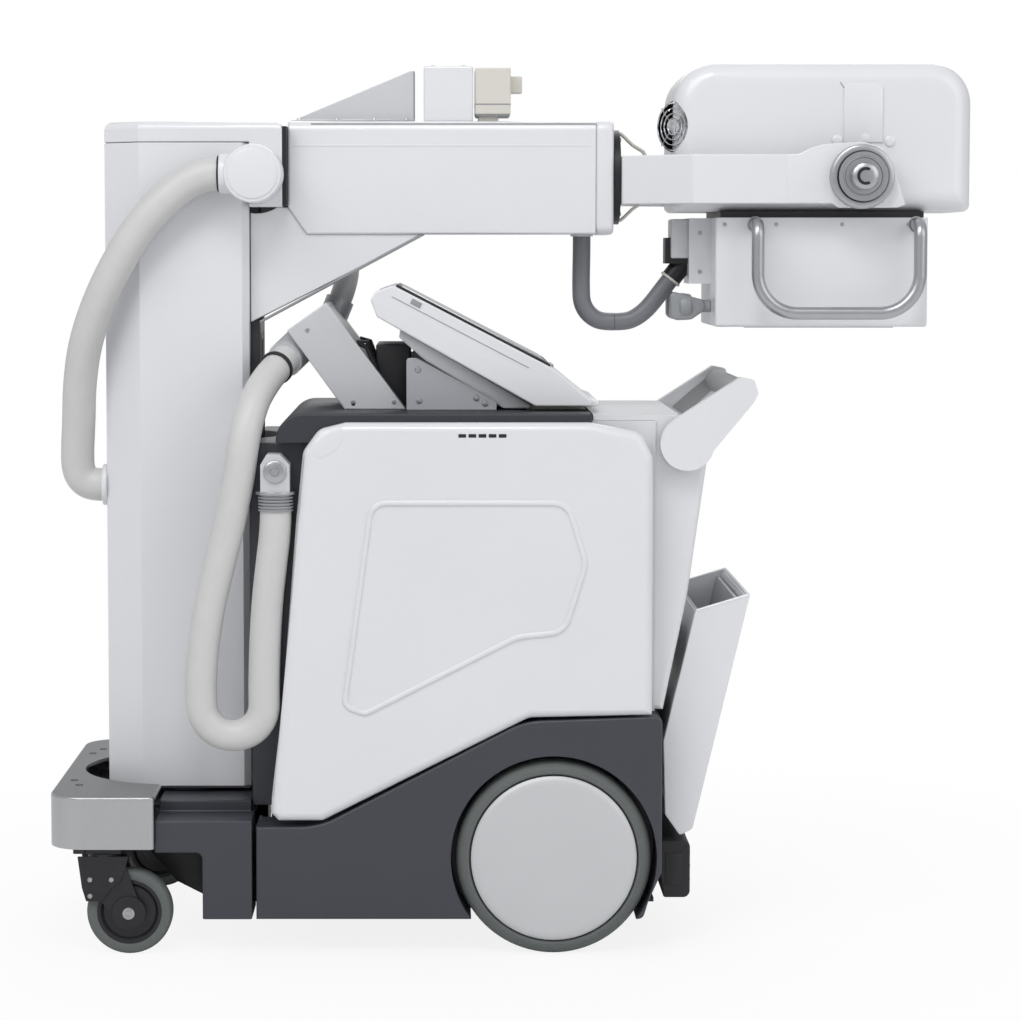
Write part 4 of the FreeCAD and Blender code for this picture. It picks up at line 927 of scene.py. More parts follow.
@dataclass
class Wheels:
    """Rear wheels and casters; every profile is (radius, distance along the axle)."""

    rear_axle: tuple[float, float] = (58.0, 142.0)
    rear_face: float = 238.0
    cover: Outline = ((0, 5.0), (60, 5.0), (108, 4.6), (115, 3.6), (119, 1.4), (120.4, 0.2),
                      (120.4, -3), (0, -3))
    hub: Outline = ((12.6, -8), (112, -8), (118, -3), (122.6, -3), (122.6, -56), (96, -56),
                    (90, -44), (40, -44), (36, -57), (12.6, -57), (12.6, -8))
    tread: Outline = (
        (122.8, -2), (124.0, 0.6), (127.0, 1.2), (128.2, 0.4), (129.2, 0.6), (130.5, 0.0),
        (133.5, -1.4), (137.5, -4.6), (140.4, -8.6), (142, -13), (142, -20), (140.2, -21),
        (140.2, -23), (142, -24), (142, -34), (140.2, -35), (140.2, -37), (142, -38), (142, -45),
        (140.4, -49.4), (137.5, -53.4), (131, -57), (122.8, -58), (122.8, -2))
    bolts: int = 6
    bolt_circle: float = 62.0
    bolt_depth: float = 44.0
    caster_axle: tuple[float, float] = (-560.0, 62.5)
    caster_middle: float = 222.0
    cheek: Outline = ((-634, 146), (-560, 146), (-565, 126), (-572, 108), (-585, 98), (-598, 80),
                      (-622, 80), (-628, 100))
    cheek_inner: float = 21.0
    cheek_outer: float = 24.0
    cheek_bolts: Outline = ((-616, 112), (-585, 112), (-616, 88))
    caster_tyre: Outline = (
        (47, -14.5), (50, -15.2), (56, -15.6), (59, -14.6), (61.6, -11.4), (62.5, -7), (62.5, 7),
        (61.6, 11.4), (59, 14.6), (56, 15.6), (50, 15.2), (47, 14.5), (47, -14.5))
    caster_hub: Outline = (
        (5.2, -15.8), (15, -15.8), (17, -12), (38, -10.5), (42, -14.2), (47.2, -14.6),
        (47.2, 14.6), (42, 14.2), (38, 10.5), (17, 12), (15, 15.8), (5.2, 15.8), (5.2, -15.8))

    def build(self) -> None:
        """Make both sides."""
        for side in Side:
            self._rear(side)
            self._caster(side)

    def _rear(self, side: Side) -> None:
        """Plain cover disc, hub with its bolts and grooved tyre.

        Args:
            side: Side of the machine.
        """
        wheel, tyre = f"rear_wheel_{side.word}", f"rear_tyre_{side.word}"
        x, z = self.rear_axle
        centre = (x, side.value * self.rear_face, z)
        body = body_of(wheel)
        Piece(f"{wheel}_cover").turned(self.cover, centre, side.out, 96).done(
            body, Finishes.disc, "wheel_disc", (wheel,))
        Piece(f"{wheel}_hub").turned(self.hub, centre, side.out, 72).done(
            body, Finishes.black, "wheel_disc")
        Piece(f"{tyre}_tread").turned(self.tread, centre, side.out, 96).done(
            body_of(tyre), Finishes.tyre, "tyre_grey", (tyre,))
        bolts = Piece(f"{wheel}_bolts")
        for number in range(self.bolts):
            angle = math.tau * number / self.bolts
            bolts.screw((x + self.bolt_circle * math.cos(angle),
                         side.value * (self.rear_face - self.bolt_depth),
                         z + self.bolt_circle * math.sin(angle)), -side.out, 6.0, 4.0)
        bolts.done(body, Finishes.steel, "wheel_disc")

    def _caster(self, side: Side) -> None:
        """Fork with bolts, and a wheel with a dark hub and a grey tyre.

        Args:
            side: Side of the machine.
        """
        fork, wheel = f"caster_fork_{side.word}", f"caster_wheel_{side.word}"
        x, z = self.caster_axle
        mid = side.value * self.caster_middle
        refined(fork, Finishes.black, 1.2)
        plates = Piece(f"caster_cheeks_{side.word}")
        bolts = Piece(f"caster_bolts_{side.word}")
        for face in Side:
            low, high = sorted((mid + face.value * self.cheek_inner,
                                mid + face.value * self.cheek_outer))
            plates.prism(self.cheek, low, high, Axis.Y, 1.2)
            plates.disc((x, mid + face.value * self.cheek_inner, z), face.out, 25.0, 3.0, 1.2, 0, 40)
            for bolt_x, bolt_z in self.cheek_bolts:
                bolts.screw((bolt_x, mid + face.value * self.cheek_outer, bolt_z), face.out, 4.0, 2.0)
            bolts.disc((x, mid + face.value * 23.6, z), face.out, 9.0, 3.0, 1.0, 0, 24)
            bolts.screw((x, mid + face.value * 26.6, z), face.out, 5.0, 2.0)
        plates.done(fork, Finishes.black, "dark_plastic")
        bolts.done(fork, Finishes.steel, "dark_plastic")
        Piece(f"{wheel}_tyre").turned(self.caster_tyre, (x, mid, z), Axis.Y, 64).done(
            wheel, Finishes.tyre, "tyre_grey", (wheel,))
        Piece(f"{wheel}_hub").turned(self.caster_hub, (x, mid, z), Axis.Y, 48).done(
            wheel, Finishes.black, "tyre_grey")


@dataclass
class Cabinet:
    """Deck, inner body, side panels, rear cover, bin and push handle."""

    panel_face: float = 246.0
    line: Corners = ((-206, 661, 24), (76, 661, 28), (103, 574, 34), (72, 474, 30), (4, 467, 60),
                     (-216, 355, 16), (-246, 366, 14))
    vents: int = 5
    vent_pitch: float = 14.5
    vent_start: float = -81.0
    facet: Outline = ((0, 2.0), (20, 2.0), (27, 1.4), (31, 0.0), (0, 0))
    shoulder: Outline = ((113, 777.4), (206, 777.4), (206, 352), (188, 352), (188, 690), (113, 742))
    bin_half: float = 174.0
    lining: Outline = ((252, 180), (258, 184), (336, 508), (331, 508))
    divider: Outline = ((233, 304), (236, 304), (276, 492), (273, 492))
    pad: Outline = ((282, 762), (322, 800), (334, 806), (340, 815), (333, 826), (318, 824),
                    (262, 776))
    grip_ribs: int = 95
    grip_centre: tuple[float, float, float] = (332.0, 0.0, 818.0)

    def build(self) -> None:
        """Soften the mouldings and add pads, slots and the bin's lining."""
        refined("inner_body", Finishes.slate, 2.0)
        refined("deck", Finishes.deck, 3.0, 3)
        for side in Side:
            self._panel(side)
        refined("rear_cover", Finishes.shell, 3.0, 3)
        refined("cassette_bin", Finishes.shell, 1.5, 3)
        refined("push_handle", Finishes.shell, 5.0, 4)
        self._panel_details()
        self._bin_liner()
        self._pads()

    def _panel(self, side: Side) -> None:
        """Side panel whose raised line follows smooth arcs instead of straight facets.

        Args:
            side: Side of the machine.
        """
        node = f"side_panel_{side.word}"
        skin = Piece(f"{node}_skin").copy_of(node, 0.0)
        bm = skin.bm
        proud = [vert for vert in bm.verts if abs(vert.co.y) > self.panel_face + 0.05]
        bmesh.ops.delete(bm, geom=proud, context="VERTS")
        rim = [edge for edge in bm.edges if edge.is_boundary]
        bmesh.ops.triangle_fill(bm, use_beauty=True, use_dissolve=False, edges=rim)
        bmesh.ops.dissolve_limit(bm, angle_limit=math.radians(1.5), verts=bm.verts, edges=bm.edges)
        soften_later(skin.done("chassis", Finishes.shell, "body_shell", (node,), 40.0, False),
                     1.8, 3)
        Piece(f"{node}_line").bead(self.line, 9.0, 3.0, self.panel_face, side.value).done(
            "chassis", Finishes.shell, "body_shell", (), 60.0)

    def _panel_details(self) -> None:
        """Vent dashes, the shoulder's oval facet and the fill behind each side panel."""
        fill = Piece("rear_shoulders").side_plates(self.shoulder, 199.0, 201.4, 0.0)
        fill.done("chassis", Finishes.shell, "body_shell")
        dashes = Piece("panel_vents")
        for number in range(self.vents):
            x = self.vent_start + number * self.vent_pitch
            dashes.side_boxes((x, self.panel_face - 0.4, 755.5),
                              (x + 11.0, self.panel_face + 0.8, 760.5), 0.4, 1)
        dashes.done("chassis", Finishes.black, "body_shell")
        facets = Piece("panel_facets")
        for side in Side:
            tilt = (Matrix.Translation((-269, side.value * (self.panel_face - 1.1), 746))
                    @ Matrix.Rotation(-0.7, 4, "Y") @ Matrix.Diagonal((1.0, 1.0, 0.52, 1.0)))
            facets.add(Piece("oval").turned(self.facet, (0, 0, 0), side.out, 48).turn(tilt))
        facets.done("chassis", Finishes.shell, "body_shell")

    def _bin_liner(self) -> None:
        """Grey lining and divider in the open bin, and the folded rim's rolled edge."""
        inside = self.bin_half - 3.0
        liner = Piece("bin_lining")
        liner.prism(self.lining, -inside, inside, Axis.Y, 0.8)
        liner.prism(self.divider, -inside, inside, Axis.Y, 0.8)
        liner.box((256, -2, 200), (262, 2, 420), 0.8)
        liner.done("chassis", Finishes.grey_paint, "body_shell")
        rim = Piece("bin_rim")
        for side in Side:
            y = side.value * self.bin_half
            rim.rod([(269, y, 496), (345, y, 519)], 2.6)
        rim.rod([(345, -self.bin_half, 519), (345, self.bin_half, 519)], 2.6)
        rim.done("chassis", Finishes.shell, "body_shell")

    def _pads(self) -> None:
        """Grey pads of the push handle and its grip's sleeve."""
        Piece("handle_pads").side_plates(self.pad, 200.2, 202.6, 0.8).done(
            "push_handle", Finishes.pad, "body_shell")
        ribs = [(17.7 if number % 2 else 17.2, -188 + number * 4.0)
                for number in range(self.grip_ribs)]
        Piece("handle_grip_sleeve").turned(
            [(16.1, -198), (18.2, -196), (18.2, -190), (17.2, -188), *ribs,
             (18.2, 190), (18.2, 196), (16.1, 198), (16.1, -198)],
            self.grip_centre, Axis.Y, 28).done("push_handle", Finishes.pad, "body_shell")


@dataclass
class Console:
    """Hose guide, its fittings, and the monitor on its bracket."""

    top_corner: Point = (-176.0, 0.0, 973.0)
    slope: Point = (235.0, 0.0, -122.0)
    half: float = 165.0
    underside: Outline = ((-166, 908), (26, 799.5), (26, 791), (-14, 791), (-130, 862), (-168, 896))
    gap: Outline = ((-196, 928), (28, 798.6), (27, 796.4), (-198, 925.6))
    foot: Outline = ((20, 789), (108, 789), (104, 797), (70, 806), (26, 806))
    rest: Outline = ((60, 850), (114, 806), (126, 802), (128, 797), (112, 794), (60, 800))
    keys: int = 5
    bracket_screws: Outline = ((-140, 849), (-138, 803), (-54, 807), (-41, 799))
    guide_screws: Outline = ((-236, 800), (-176, 800), (-304, 906))
    elbow: tuple[float, float] = (-345.0, -225.0)
    ribs: int = 5

    def build(self) -> None:
        """Soften the sheet parts and add the monitor's layers."""
        refined("hose_guide", Finishes.guide, 1.6, 3)
        refined("hose_fittings", Finishes.guide, 1.5, 2)
        refined("monitor_bracket", Finishes.bracket, 1.2)
        refined("monitor_housing", Finishes.shell, 2.5, 3)
        self._monitor()
        self._fasteners()
        self._clamps()
        self._cables()

    def _along(self, run: float, lift: float) -> tuple[float, float]:
        """Point (x, z) a run down the monitor's top face and a lift above it.

        Args:
            run: Distance down the face from its top corner.
            lift: Height above the face.

        Returns:
            The point (x, z).
        """
        down = Vector(self.slope).normalized()
        up = Vector((-down.z, 0.0, down.x))
        spot = Vector(self.top_corner) + down * run + up * lift
        return spot.x, spot.z

    def _layer(self, start: float, end: float, low: float, high: float) -> Outline:
        """Outline of a layer along the monitor's top face."""
        return [self._along(start, low), self._along(end, low), self._along(end, high),
                self._along(start, high)]

    def _monitor(self) -> None:
        """Dark bezel and glass on the tray, its seam, cream foot and palm rest."""
        Piece("monitor_bezel").prism(self._layer(4, 259, -0.2, 3.2), -152, 152, Axis.Y, 1.4, 3).done(
            "chassis", Finishes.black, "body_shell")
        Piece("monitor_pane").prism(self._layer(12, 249, 3.0, 4.0), -146, 146, Axis.Y, 0.4).done(
            "chassis", Finishes.glass, "screen_glass", ("monitor_glass",))
        seams = Piece("monitor_seams")
        seams.side_plates(self._layer(6, 232, -15.0, -16.2), self.half - 0.1, self.half + 0.5, 0.0)
        seams.side_plates(self._layer(34, 50, -4.0, -12.0), self.half - 0.1, self.half + 0.9, 0.2)
        seams.done("chassis", Finishes.grey_paint, "body_shell")
        for name, outline, half, soft, segments, finish in (
                ("monitor_underside", self.underside, 131, 2.5, 3, Finishes.shell),
                ("monitor_gap", self.gap, 150, 0.4, 2, Finishes.black),
                ("monitor_foot", self.foot, 120, 2.0, 3, Finishes.cream),
                ("palm_rest", self.rest, 150, 2.0, 3, Finishes.shell)):
            Piece(name).prism(outline, -half, half, Axis.Y, soft, segments).done(
                "chassis", finish, "body_shell")
        keys = Piece("console_keys")
        x, z = self._along(262, -0.6)
        for number in range(self.keys):
            keys.box((x - 5, -48 + number * 20, z - 3), (x + 7, -36 + number * 20, z + 1.2), 1.2)
        keys.done("chassis", Finishes.grey_paint, "body_shell")

    def _fasteners(self) -> None:
        """Screws of the bracket and the guide."""
        screws = Piece("bracket_screws").side_screws(self.bracket_screws, 140, 4.5, 2.2)
        screws.side_screws(self.guide_screws, 115, 3.4, 1.6)
        screws.done("chassis", Finishes.steel, "guide_metal")
        holes = Piece("guide_holes")
        for side in Side:
            holes.disc((-236, side.value * 115.0, 797), side.out, 3.0, 0.25, 0.1, 0, 16)
        holes.done("chassis", Finishes.black, "guide_metal")

    def _clamps(self) -> None:
        """Black clamp round the supply hose's upper end, and the elbow's boss and ribs."""
        way = Vector((10.0, 24.0, 10.0)).normalized()
        spot = Vector(Hoses.supply.route[-1]) * 1000.0 - way * 34.0
        Piece("supply_clamp").disc(tuple(spot), way, 25.6, 7.0, 1.6, 22.0, 48).done(
            "chassis", Finishes.rubber, "bumper_metal")
        x, y = self.elbow
        elbow = Piece("elbow_boss")
        for profile, steps in ((((0, 5.0), (13, 5.0), (16, 3.6), (17, 0), (0, 0)), 40),
                               (((0, 7.4), (5.5, 7.4), (6.5, 6.2), (6.8, 4.6), (0, 4.6)), 24)):
            elbow.turned(profile, (x, y - 21, 706), Axis.MINUS_Y, steps)
        elbow.disc((x, y, 672), Axis.Z, 29.0, 5.0, 1.2, 0, 48)
        elbow.done("chassis", Finishes.silver, "bumper_metal")
        ribs = Piece("elbow_ribs")
        for number in range(self.ribs):
            ribs.disc((x, y, 648 + number * 4.6), Axis.Z, 25.6, 3.0, 1.0, 22.0, 48)
        ribs.done("chassis", Finishes.grey_paint, "bumper_metal")

    def _cables(self) -> None:
        """Dark box and cables between the guide and the monitor."""
        Piece("cable_box").box((-203, -84, 792), (-152, 84, 884), 2.5, 3).done(
            "chassis", Finishes.black, "dark_plastic")
        runs = Piece("console_cables")
        for y, bow in ((-96.0, 0.0), (-84.0, 8.0), (92.0, 4.0)):
            runs.rod([(-232, y, 888), (-216, y, 880 + bow), (-204, y, 852), (-200, y, 815),
                      (-190, y, 792)], 3.6, 10)
        runs.done("chassis", Finishes.black, "dark_plastic")


@dataclass
class Column:
    """Swivelling column with its turntable, cap, mast and hose drum."""

    drum_centre: tuple[float, float, float] = (-381.0, -100.0, 1136.0)
    hose_y: float = -134.0
    drum: Outline = ((0, 66), (38, 66), (41.4, 65.2), (43, 62.6), (43, 1), (16, 1), (16, 0), (0, 0))
    drum_face: Outline = ((0, 2.4), (34, 2.4), (36.4, 1.6), (37.2, -0.2), (0, -0.2))
    collar: Outline = ((22, -50), (28.0, -50), (29.2, -48.6), (29.2, -31), (28, -29.6), (22, -29.6))
    gasket: Outline = ((-606, -58), (-552, -98), (-403, -98), (-394, -89), (-394, 89), (-403, 98),
                       (-552, 98), (-606, 58))
    skirt: Outline = ((-609, -60.5), (-553.5, -101), (-392, -101), (-392, 101), (-553.5, 101),
                      (-609, 60.5))
    screw_heights: tuple[float, ...] = (250.0, 700.0, 1150.0)

    def build(self) -> None:
        """Soften the covers and add trim."""
        refined("turntable_ring", Finishes.slate, 1.0)
        refined("column_cover", Finishes.shell, 1.6, 3)
        refined("mast_rails", Finishes.steel, 1.0)
        refined("hose_glands", Finishes.shell, 2.0)
        refined("lift_mast", Finishes.mast, 1.2)
        refined("mast_cap", Finishes.shell, 1.6, 3)
        self._drum()
        self._trim()

    def _drum(self) -> None:
        """Hose drum with a white cap, rounded bright rim and a short collar."""
        x, y, z = self.drum_centre
        drum = Piece("hose_drum_shell").turned(self.drum, self.drum_centre, Axis.MINUS_Y, 72)
        drum.turned(self.drum_face, (x, y - 66, z), Axis.MINUS_Y, 72)
        drum.turned(self.collar, (x, self.hose_y, z), Axis.X, 56)
        drum.done("mast", Finishes.shell, "body_shell", ("hose_drum",))
        seal = Piece("hose_drum_seal").disc((x - 53, self.hose_y, z), Axis.X, 26.6, 3.4, 1.0, 20.0)
        seal.disc((x, y - 63.2, z), Axis.MINUS_Y, 38.6, 1.8, 0.4, 37.0, 72)
        seal.done("mast", Finishes.black, "body_shell")

    def _trim(self) -> None:
        """Seam under the cap, rear strips and the mast's scale slot."""
        seam = Piece("cap_gasket").prism(self.gasket, 1181.2, 1184.2, Axis.Z, 0.0)
        seam.box((-341.3, -97.5, 1090), (-334.2, 97.5, 1207), 0.0)
        seam.box((-375.0, -69.0, 1042), (-336.0, 69.0, 1096), 0.0)
        seam.done("mast", Finishes.black, "body_shell")
        slots = Piece("mast_slots").side_boxes((-377.4, 29, 420), (-376.4, 39, 900), 0.3, 1)
        slots.box((-377.6, -12, 430), (-376.2, 12, 890), 0.3, 1)
        slots.done("mast", Finishes.black, "mast_dark")
        screws = Piece("column_screws")
        for side in Side:
            for z in self.screw_heights:
                screws.screw((-391, side.value * 78, z), Axis.X, 4.0, 1.6)
        screws.done("column", Finishes.steel, "body_shell")
        Piece("column_skirt").prism(self.skirt, 219.4, 223.0, Axis.Z, 0.6, 1).done(
            "column", Finishes.slate, "body_shell")


@dataclass
class Arm:
    """Arm with its gusset, end ring and what stands on top of it."""

    half: float = 75.0
    ring: Corners = ((-76, 1047, 16), (76, 1047, 16), (76, 1217, 16), (-76, 1217, 16))
    flange: Outline = ((-377, 915.6), (-131, 1047.4), (-133, 1050.6), (-377, 919.2))
    block_screws: Outline = ((-118, -30), (-118, 30), (-72, -30), (-72, 30))
    brace_top: float = 1219.0
    brace_screws: tuple[float, ...] = (-318, -262, -206, -158)

    def build(self) -> None:
        """Soften the mouldings and add seams and screws."""
        refined("arm_beam", Finishes.steel, 0.0)
        refined("arm_housing", Finishes.shell, 1.5, 3)
        Piece("arm_end_ring_shell").prism(rounded(self.ring), 124.2, 151, Axis.X, 6.0, 4).done(
            "mast", Finishes.shell, "body_shell", ("arm_end_ring",))
        refined("gusset", Finishes.shell, 1.5, 3)
        refined("brace_plate", Finishes.guide, 0.8)
        refined("rest_block", Finishes.shell, 3.0, 3)
        refined("rest_catch", Finishes.cream, 2.0, 3)
        self._trim()
        self._brace()

    def _trim(self) -> None:
        """Crease along the arm, dark flange strip of the gusset and the catch's seam."""
        Piece("arm_creases").side_boxes((-326, self.half - 0.4, 1178), (118, self.half + 0.6, 1181),
                                        0.4, 1).done("mast", Finishes.shell, "body_shell")
        Piece("gusset_flange_strip").prism(self.flange, -71.5, 71.5, Axis.Y, 0.5).done(
            "mast", Finishes.grey_paint, "body_shell")
        parts = Piece("catch_lines").box((-55.2, -45.4, 1241), (-1.8, 45.4, 1242.8), 0.0)
        parts.box((-54, -43, 1224.6), (-3, 43, 1227.2), 0.4, 1)
        parts.done("mast", Finishes.grey_paint, "body_shell")
        screws = Piece("arm_screws")
        for x, y in self.block_screws:
            screws.screw((x, y, 1299), Axis.Z, 3.6, 1.4)
        screws.done("mast", Finishes.steel, "body_shell")

    def _brace(self) -> None:
        """Bright edge, foot and foot screws of the brace plate."""
        brace = Piece("brace_edges").box((-147.4, -30.4, 1216), (-145.6, 30.4, 1292), 0.4, 1)
        brace.side_boxes((-330, 30, 1216), (-146, 42, self.brace_top), 0.8)
        brace.done("mast", Finishes.silver, "guide_metal")
        screws = Piece("brace_screws")
        for side in Side:
            for x in self.brace_screws:
                screws.screw((x, side.value * 37, self.brace_top), Axis.Z, 3.6, 2.4)
        screws.done("mast", Finishes.steel, "guide_metal")


@dataclass
class Yoke:
    """Roll flange, yoke arms and the pivots."""

    tilt: tuple[float, float] = (507.0, 1131.0)
    roll_height: float = 1134.0
    ring: Outline = ((37.0, 0), (47, 0), (47, 13), (45.6, 16.6), (42.6, 18), (38.4, 18),
                     (37.0, 16.6), (37.0, 0))
    disc_bead: Outline = ((26.5, 0.0), (27.5, 1.2), (29.0, 1.2), (30.0, 0.0))
    knob: Outline = ((0, -10), (6, -10), (6, 0.3), (18.6, 0.3), (20, 1.8), (20, 16), (18.8, 19.4),
                     (15.6, 21.4), (11, 22.0), (0, 22.0))
    knob_y: float = -182.0
    boss: Outline = ((398, 1163.8), (417, 1164.6), (433, 1173), (450, 1178), (470, 1180),
                     (507, 1182), (534, 1175), (552, 1156), (559, 1130), (572, 1090),
                     (560, 1086), (474, 1086), (458, 1096), (430, 1092.4), (398, 1092.2))
    wires: Outline = ((-22, 1), (-8, 1), (-30, -1), (-14, -1))
    bolts: int = 8
    bolt_circle: float = 60.0

    def build(self) -> None:
        """Soften the yoke and turn the pivots."""
        refined("roll_flange", Finishes.black, 1.0)
        refined("yoke", Finishes.shell, 2.0, 3)
        self._rings()
        self._cables()

    def _rings(self) -> None:
        """Grey rings outside the yoke, silver discs and the tilt knob, with a black arc of painted shade
        on the knob's face.
        """
        x, z = self.tilt
        rings = Piece("pivot_rings_turned")
        discs = Piece("tilt_pins_turned").copy_of("tilt_pins")
        for side in Side:
            rings.turned(self.ring, (x, side.value * 158, z), side.out, 72)
            discs.turned(self.disc_bead, (x, side.value * 182, z), side.out, 56)
        rings.done("yoke", Finishes.tube, "guide_metal", ("pivot_rings",))
        discs.done(body_of("tilt_pins"), Finishes.silver, "bumper_metal", ("tilt_pins",))
        Piece("tilt_knob_turned").turned(self.knob, (x, self.knob_y, z), Axis.MINUS_Y, 48).done(
            body_of("tilt_knob"), Finishes.silver, "body_shell", ("tilt_knob",))
        # A thin black C-shaped arc on the knob's flat face is painted shade, standing for the shade
        # inside a stepped cup.
        cup_shade_arc = [(x + radius * math.cos(math.radians(angle)), z + radius * math.sin(math.radians(angle)))
                  for radius, span in ((13.0, range(60, 301, 20)), (8.6, range(300, 59, -20)))
                  for angle in span]
        Piece("tilt_knob_recess").prism(cup_shade_arc, self.knob_y - 22.6, self.knob_y - 21.9, Axis.Y,
                                        0.0).done(body_of("tilt_knob"), Finishes.black, "body_shell")

    def _cables(self) -> None:
        """Small cables from the arm to the yoke, the yoke's bosses and the flange's bolts."""
        wires = Piece("roll_wires")
        middle = self.roll_height
        for y, way in self.wires:
            wires.rod([(163, y, middle + way * 66), (170, y - 2, middle + way * 60),
                       (182, y - 4, middle + way * 48), (198, y - 4, middle + way * 38),
                       (206, y - 3, middle + way * 24)], 2.2, 8)
        wires.done("yoke", Finishes.cream, "dark_plastic")
        Piece("yoke_bosses").side_plates(self.boss, 144.2, 158.4, 2.0, 3).done(
            "yoke", Finishes.shell, "body_shell")
        bolts = Piece("roll_flange_bolts")
        for number in range(self.bolts):
            angle = math.tau * (number + 0.5) / self.bolts
            bolts.screw((162.4, self.bolt_circle * math.cos(angle),
                         middle + self.bolt_circle * math.sin(angle)), Axis.X, 4.0, 2.4)
        bolts.done("yoke", Finishes.steel, "dark_plastic")


@dataclass
class Head:
    """Tube head with its fan, bosses and seam."""

    fan_centre: Point = (240.0, -78.0, 1207.0)
    fan_way: Point = (-0.8, -0.6, 0.0)
    opening: float = 39.5
    well: Outline = ((0, -30), (36.4, -30), (36.4, -1), (38, -1), (38, -34), (0, -34), (0, -30))
    motor: Outline = ((0, -8), (12, -8), (12.6, -9), (12.6, -26), (0, -26))
    blades: int = 7
    guard_rings: tuple[float, ...] = (12.0, 19.5, 27.0, 34.5)
    guard_spokes: int = 4
    wire: float = 1.1
    seam: Outline = ((480, 1270), (493, 1250), (494.4, 1250.8), (481.4, 1270.8))
    channel: Outline = ((486, 1182), (544, 1182), (544, 1262), (536, 1270), (494, 1270),
                        (486, 1262))
    bosses: Outline = ((477, 1185), (518, 1189), (554, 1184))
    boss: Outline = ((0, 3.2), (5.6, 3.2), (7.4, 2.2), (8.0, 0), (0, 0))

    def build(self) -> None:
        """Soften the housing and add its details."""
        self._open_corner(refined("head_housing", Finishes.shell, 1.5, 3))
        self._details()
        self._fan()

    def _open_corner(self, housing: bpy.types.Object) -> None:
        """Cut the head's corner flat in front of the fan.

        Args:
            housing: Object of the head housing.
        """
        tool = Piece("cutter").disc(self.fan_centre, Vector(self.fan_way), self.opening, 60, 0.1)
        bmesh.ops.recalc_face_normals(tool.bm, faces=tool.bm.faces)
        cutter = linked("cutter", tool.mesh())
        cut = housing.modifiers.new("fan_opening", "BOOLEAN")
        cut.object = cutter
        cut.operation = "DIFFERENCE"
        cut.solver = "EXACT"
        housing.modifiers.move(len(housing.modifiers) - 1, 0)
        bevel = housing.modifiers["edge_softness"]
        bevel.show_viewport = False
        bpy.context.view_layer.update()
        depsgraph = bpy.context.evaluated_depsgraph_get()
        made = bpy.data.meshes.new_from_object(housing.evaluated_get(depsgraph))
        housing.modifiers.remove(cut)
        bevel.show_viewport = True
        old = housing.data
        housing.data = made
        bpy.data.meshes.remove(old)
        bpy.data.objects.remove(cutter)

    def _details(self) -> None:
        """Seam round the head, raised channel at the rear and three bosses on each side."""
        Piece("head_seam").side_plates(self.seam, 115.6, 116.2, 0.0).done(
            "head", Finishes.grey_paint, "body_shell")
        raised = Piece("head_channels").side_plates(self.channel, 115.2, 118.8, 1.6, 3)
        for side in Side:
            for x, z in self.bosses:
                raised.turned(self.boss, (x, side.value * 116, z), side.out, 28)
        raised.done("head", Finishes.shell, "body_shell")

    def _guard_point(self, radius: float, angle: float, lift: float) -> Point:
        """Point of the fan's guard, by its place on the guard and its lift from it."""
        flat = Vector((radius * math.cos(angle), radius * math.sin(angle), lift))
        return tuple(Vector(self.fan_centre) + _basis(Vector(self.fan_way)).to_3x3() @ flat)

    def _fan(self) -> None:
        """Fan in the head's corner: dark well, blades, and a wire guard with its hub."""
        way = Vector(self.fan_way)
        Piece("fan_well").turned(self.well, self.fan_centre, way, 48).done(
            "head", Finishes.black, "chrome_wire", ("fan_unit",))
        blades = Piece("fan_blades").turned(self.motor, self.fan_centre, way, 32)
        for number in range(self.blades):
            turn = (Matrix.Translation(Vector(self.fan_centre)) @ _basis(way)
                    @ Matrix.Rotation(math.tau * number / self.blades, 4, "Z"))
            tilt = turn @ Matrix.Translation((23.5, 0, -17)) @ Matrix.Rotation(0.7, 4, "X")
            blades.box((-12, -8, -0.8), (12, 8, 0.8), 0.3, 1, tilt)
        blades.done("head", Finishes.black, "chrome_wire")
        wires = Piece("fan_guard")
        for radius in self.guard_rings:
            wires.rod([self._guard_point(radius, math.tau * number / 32, 2.4)
                       for number in range(33)], self.wire, 6)
        for number in range(self.guard_spokes):
            angle = math.tau * (number + 0.5) / self.guard_spokes
            wires.rod([self._guard_point(radius, angle, 0.8) for radius in (6.0, 39.0)], self.wire, 6)
        wires.disc(self.fan_centre, way, 12.0, 2.6, 0.8, 0, 32)
        wires.done("head", Finishes.chrome, "chrome_wire")


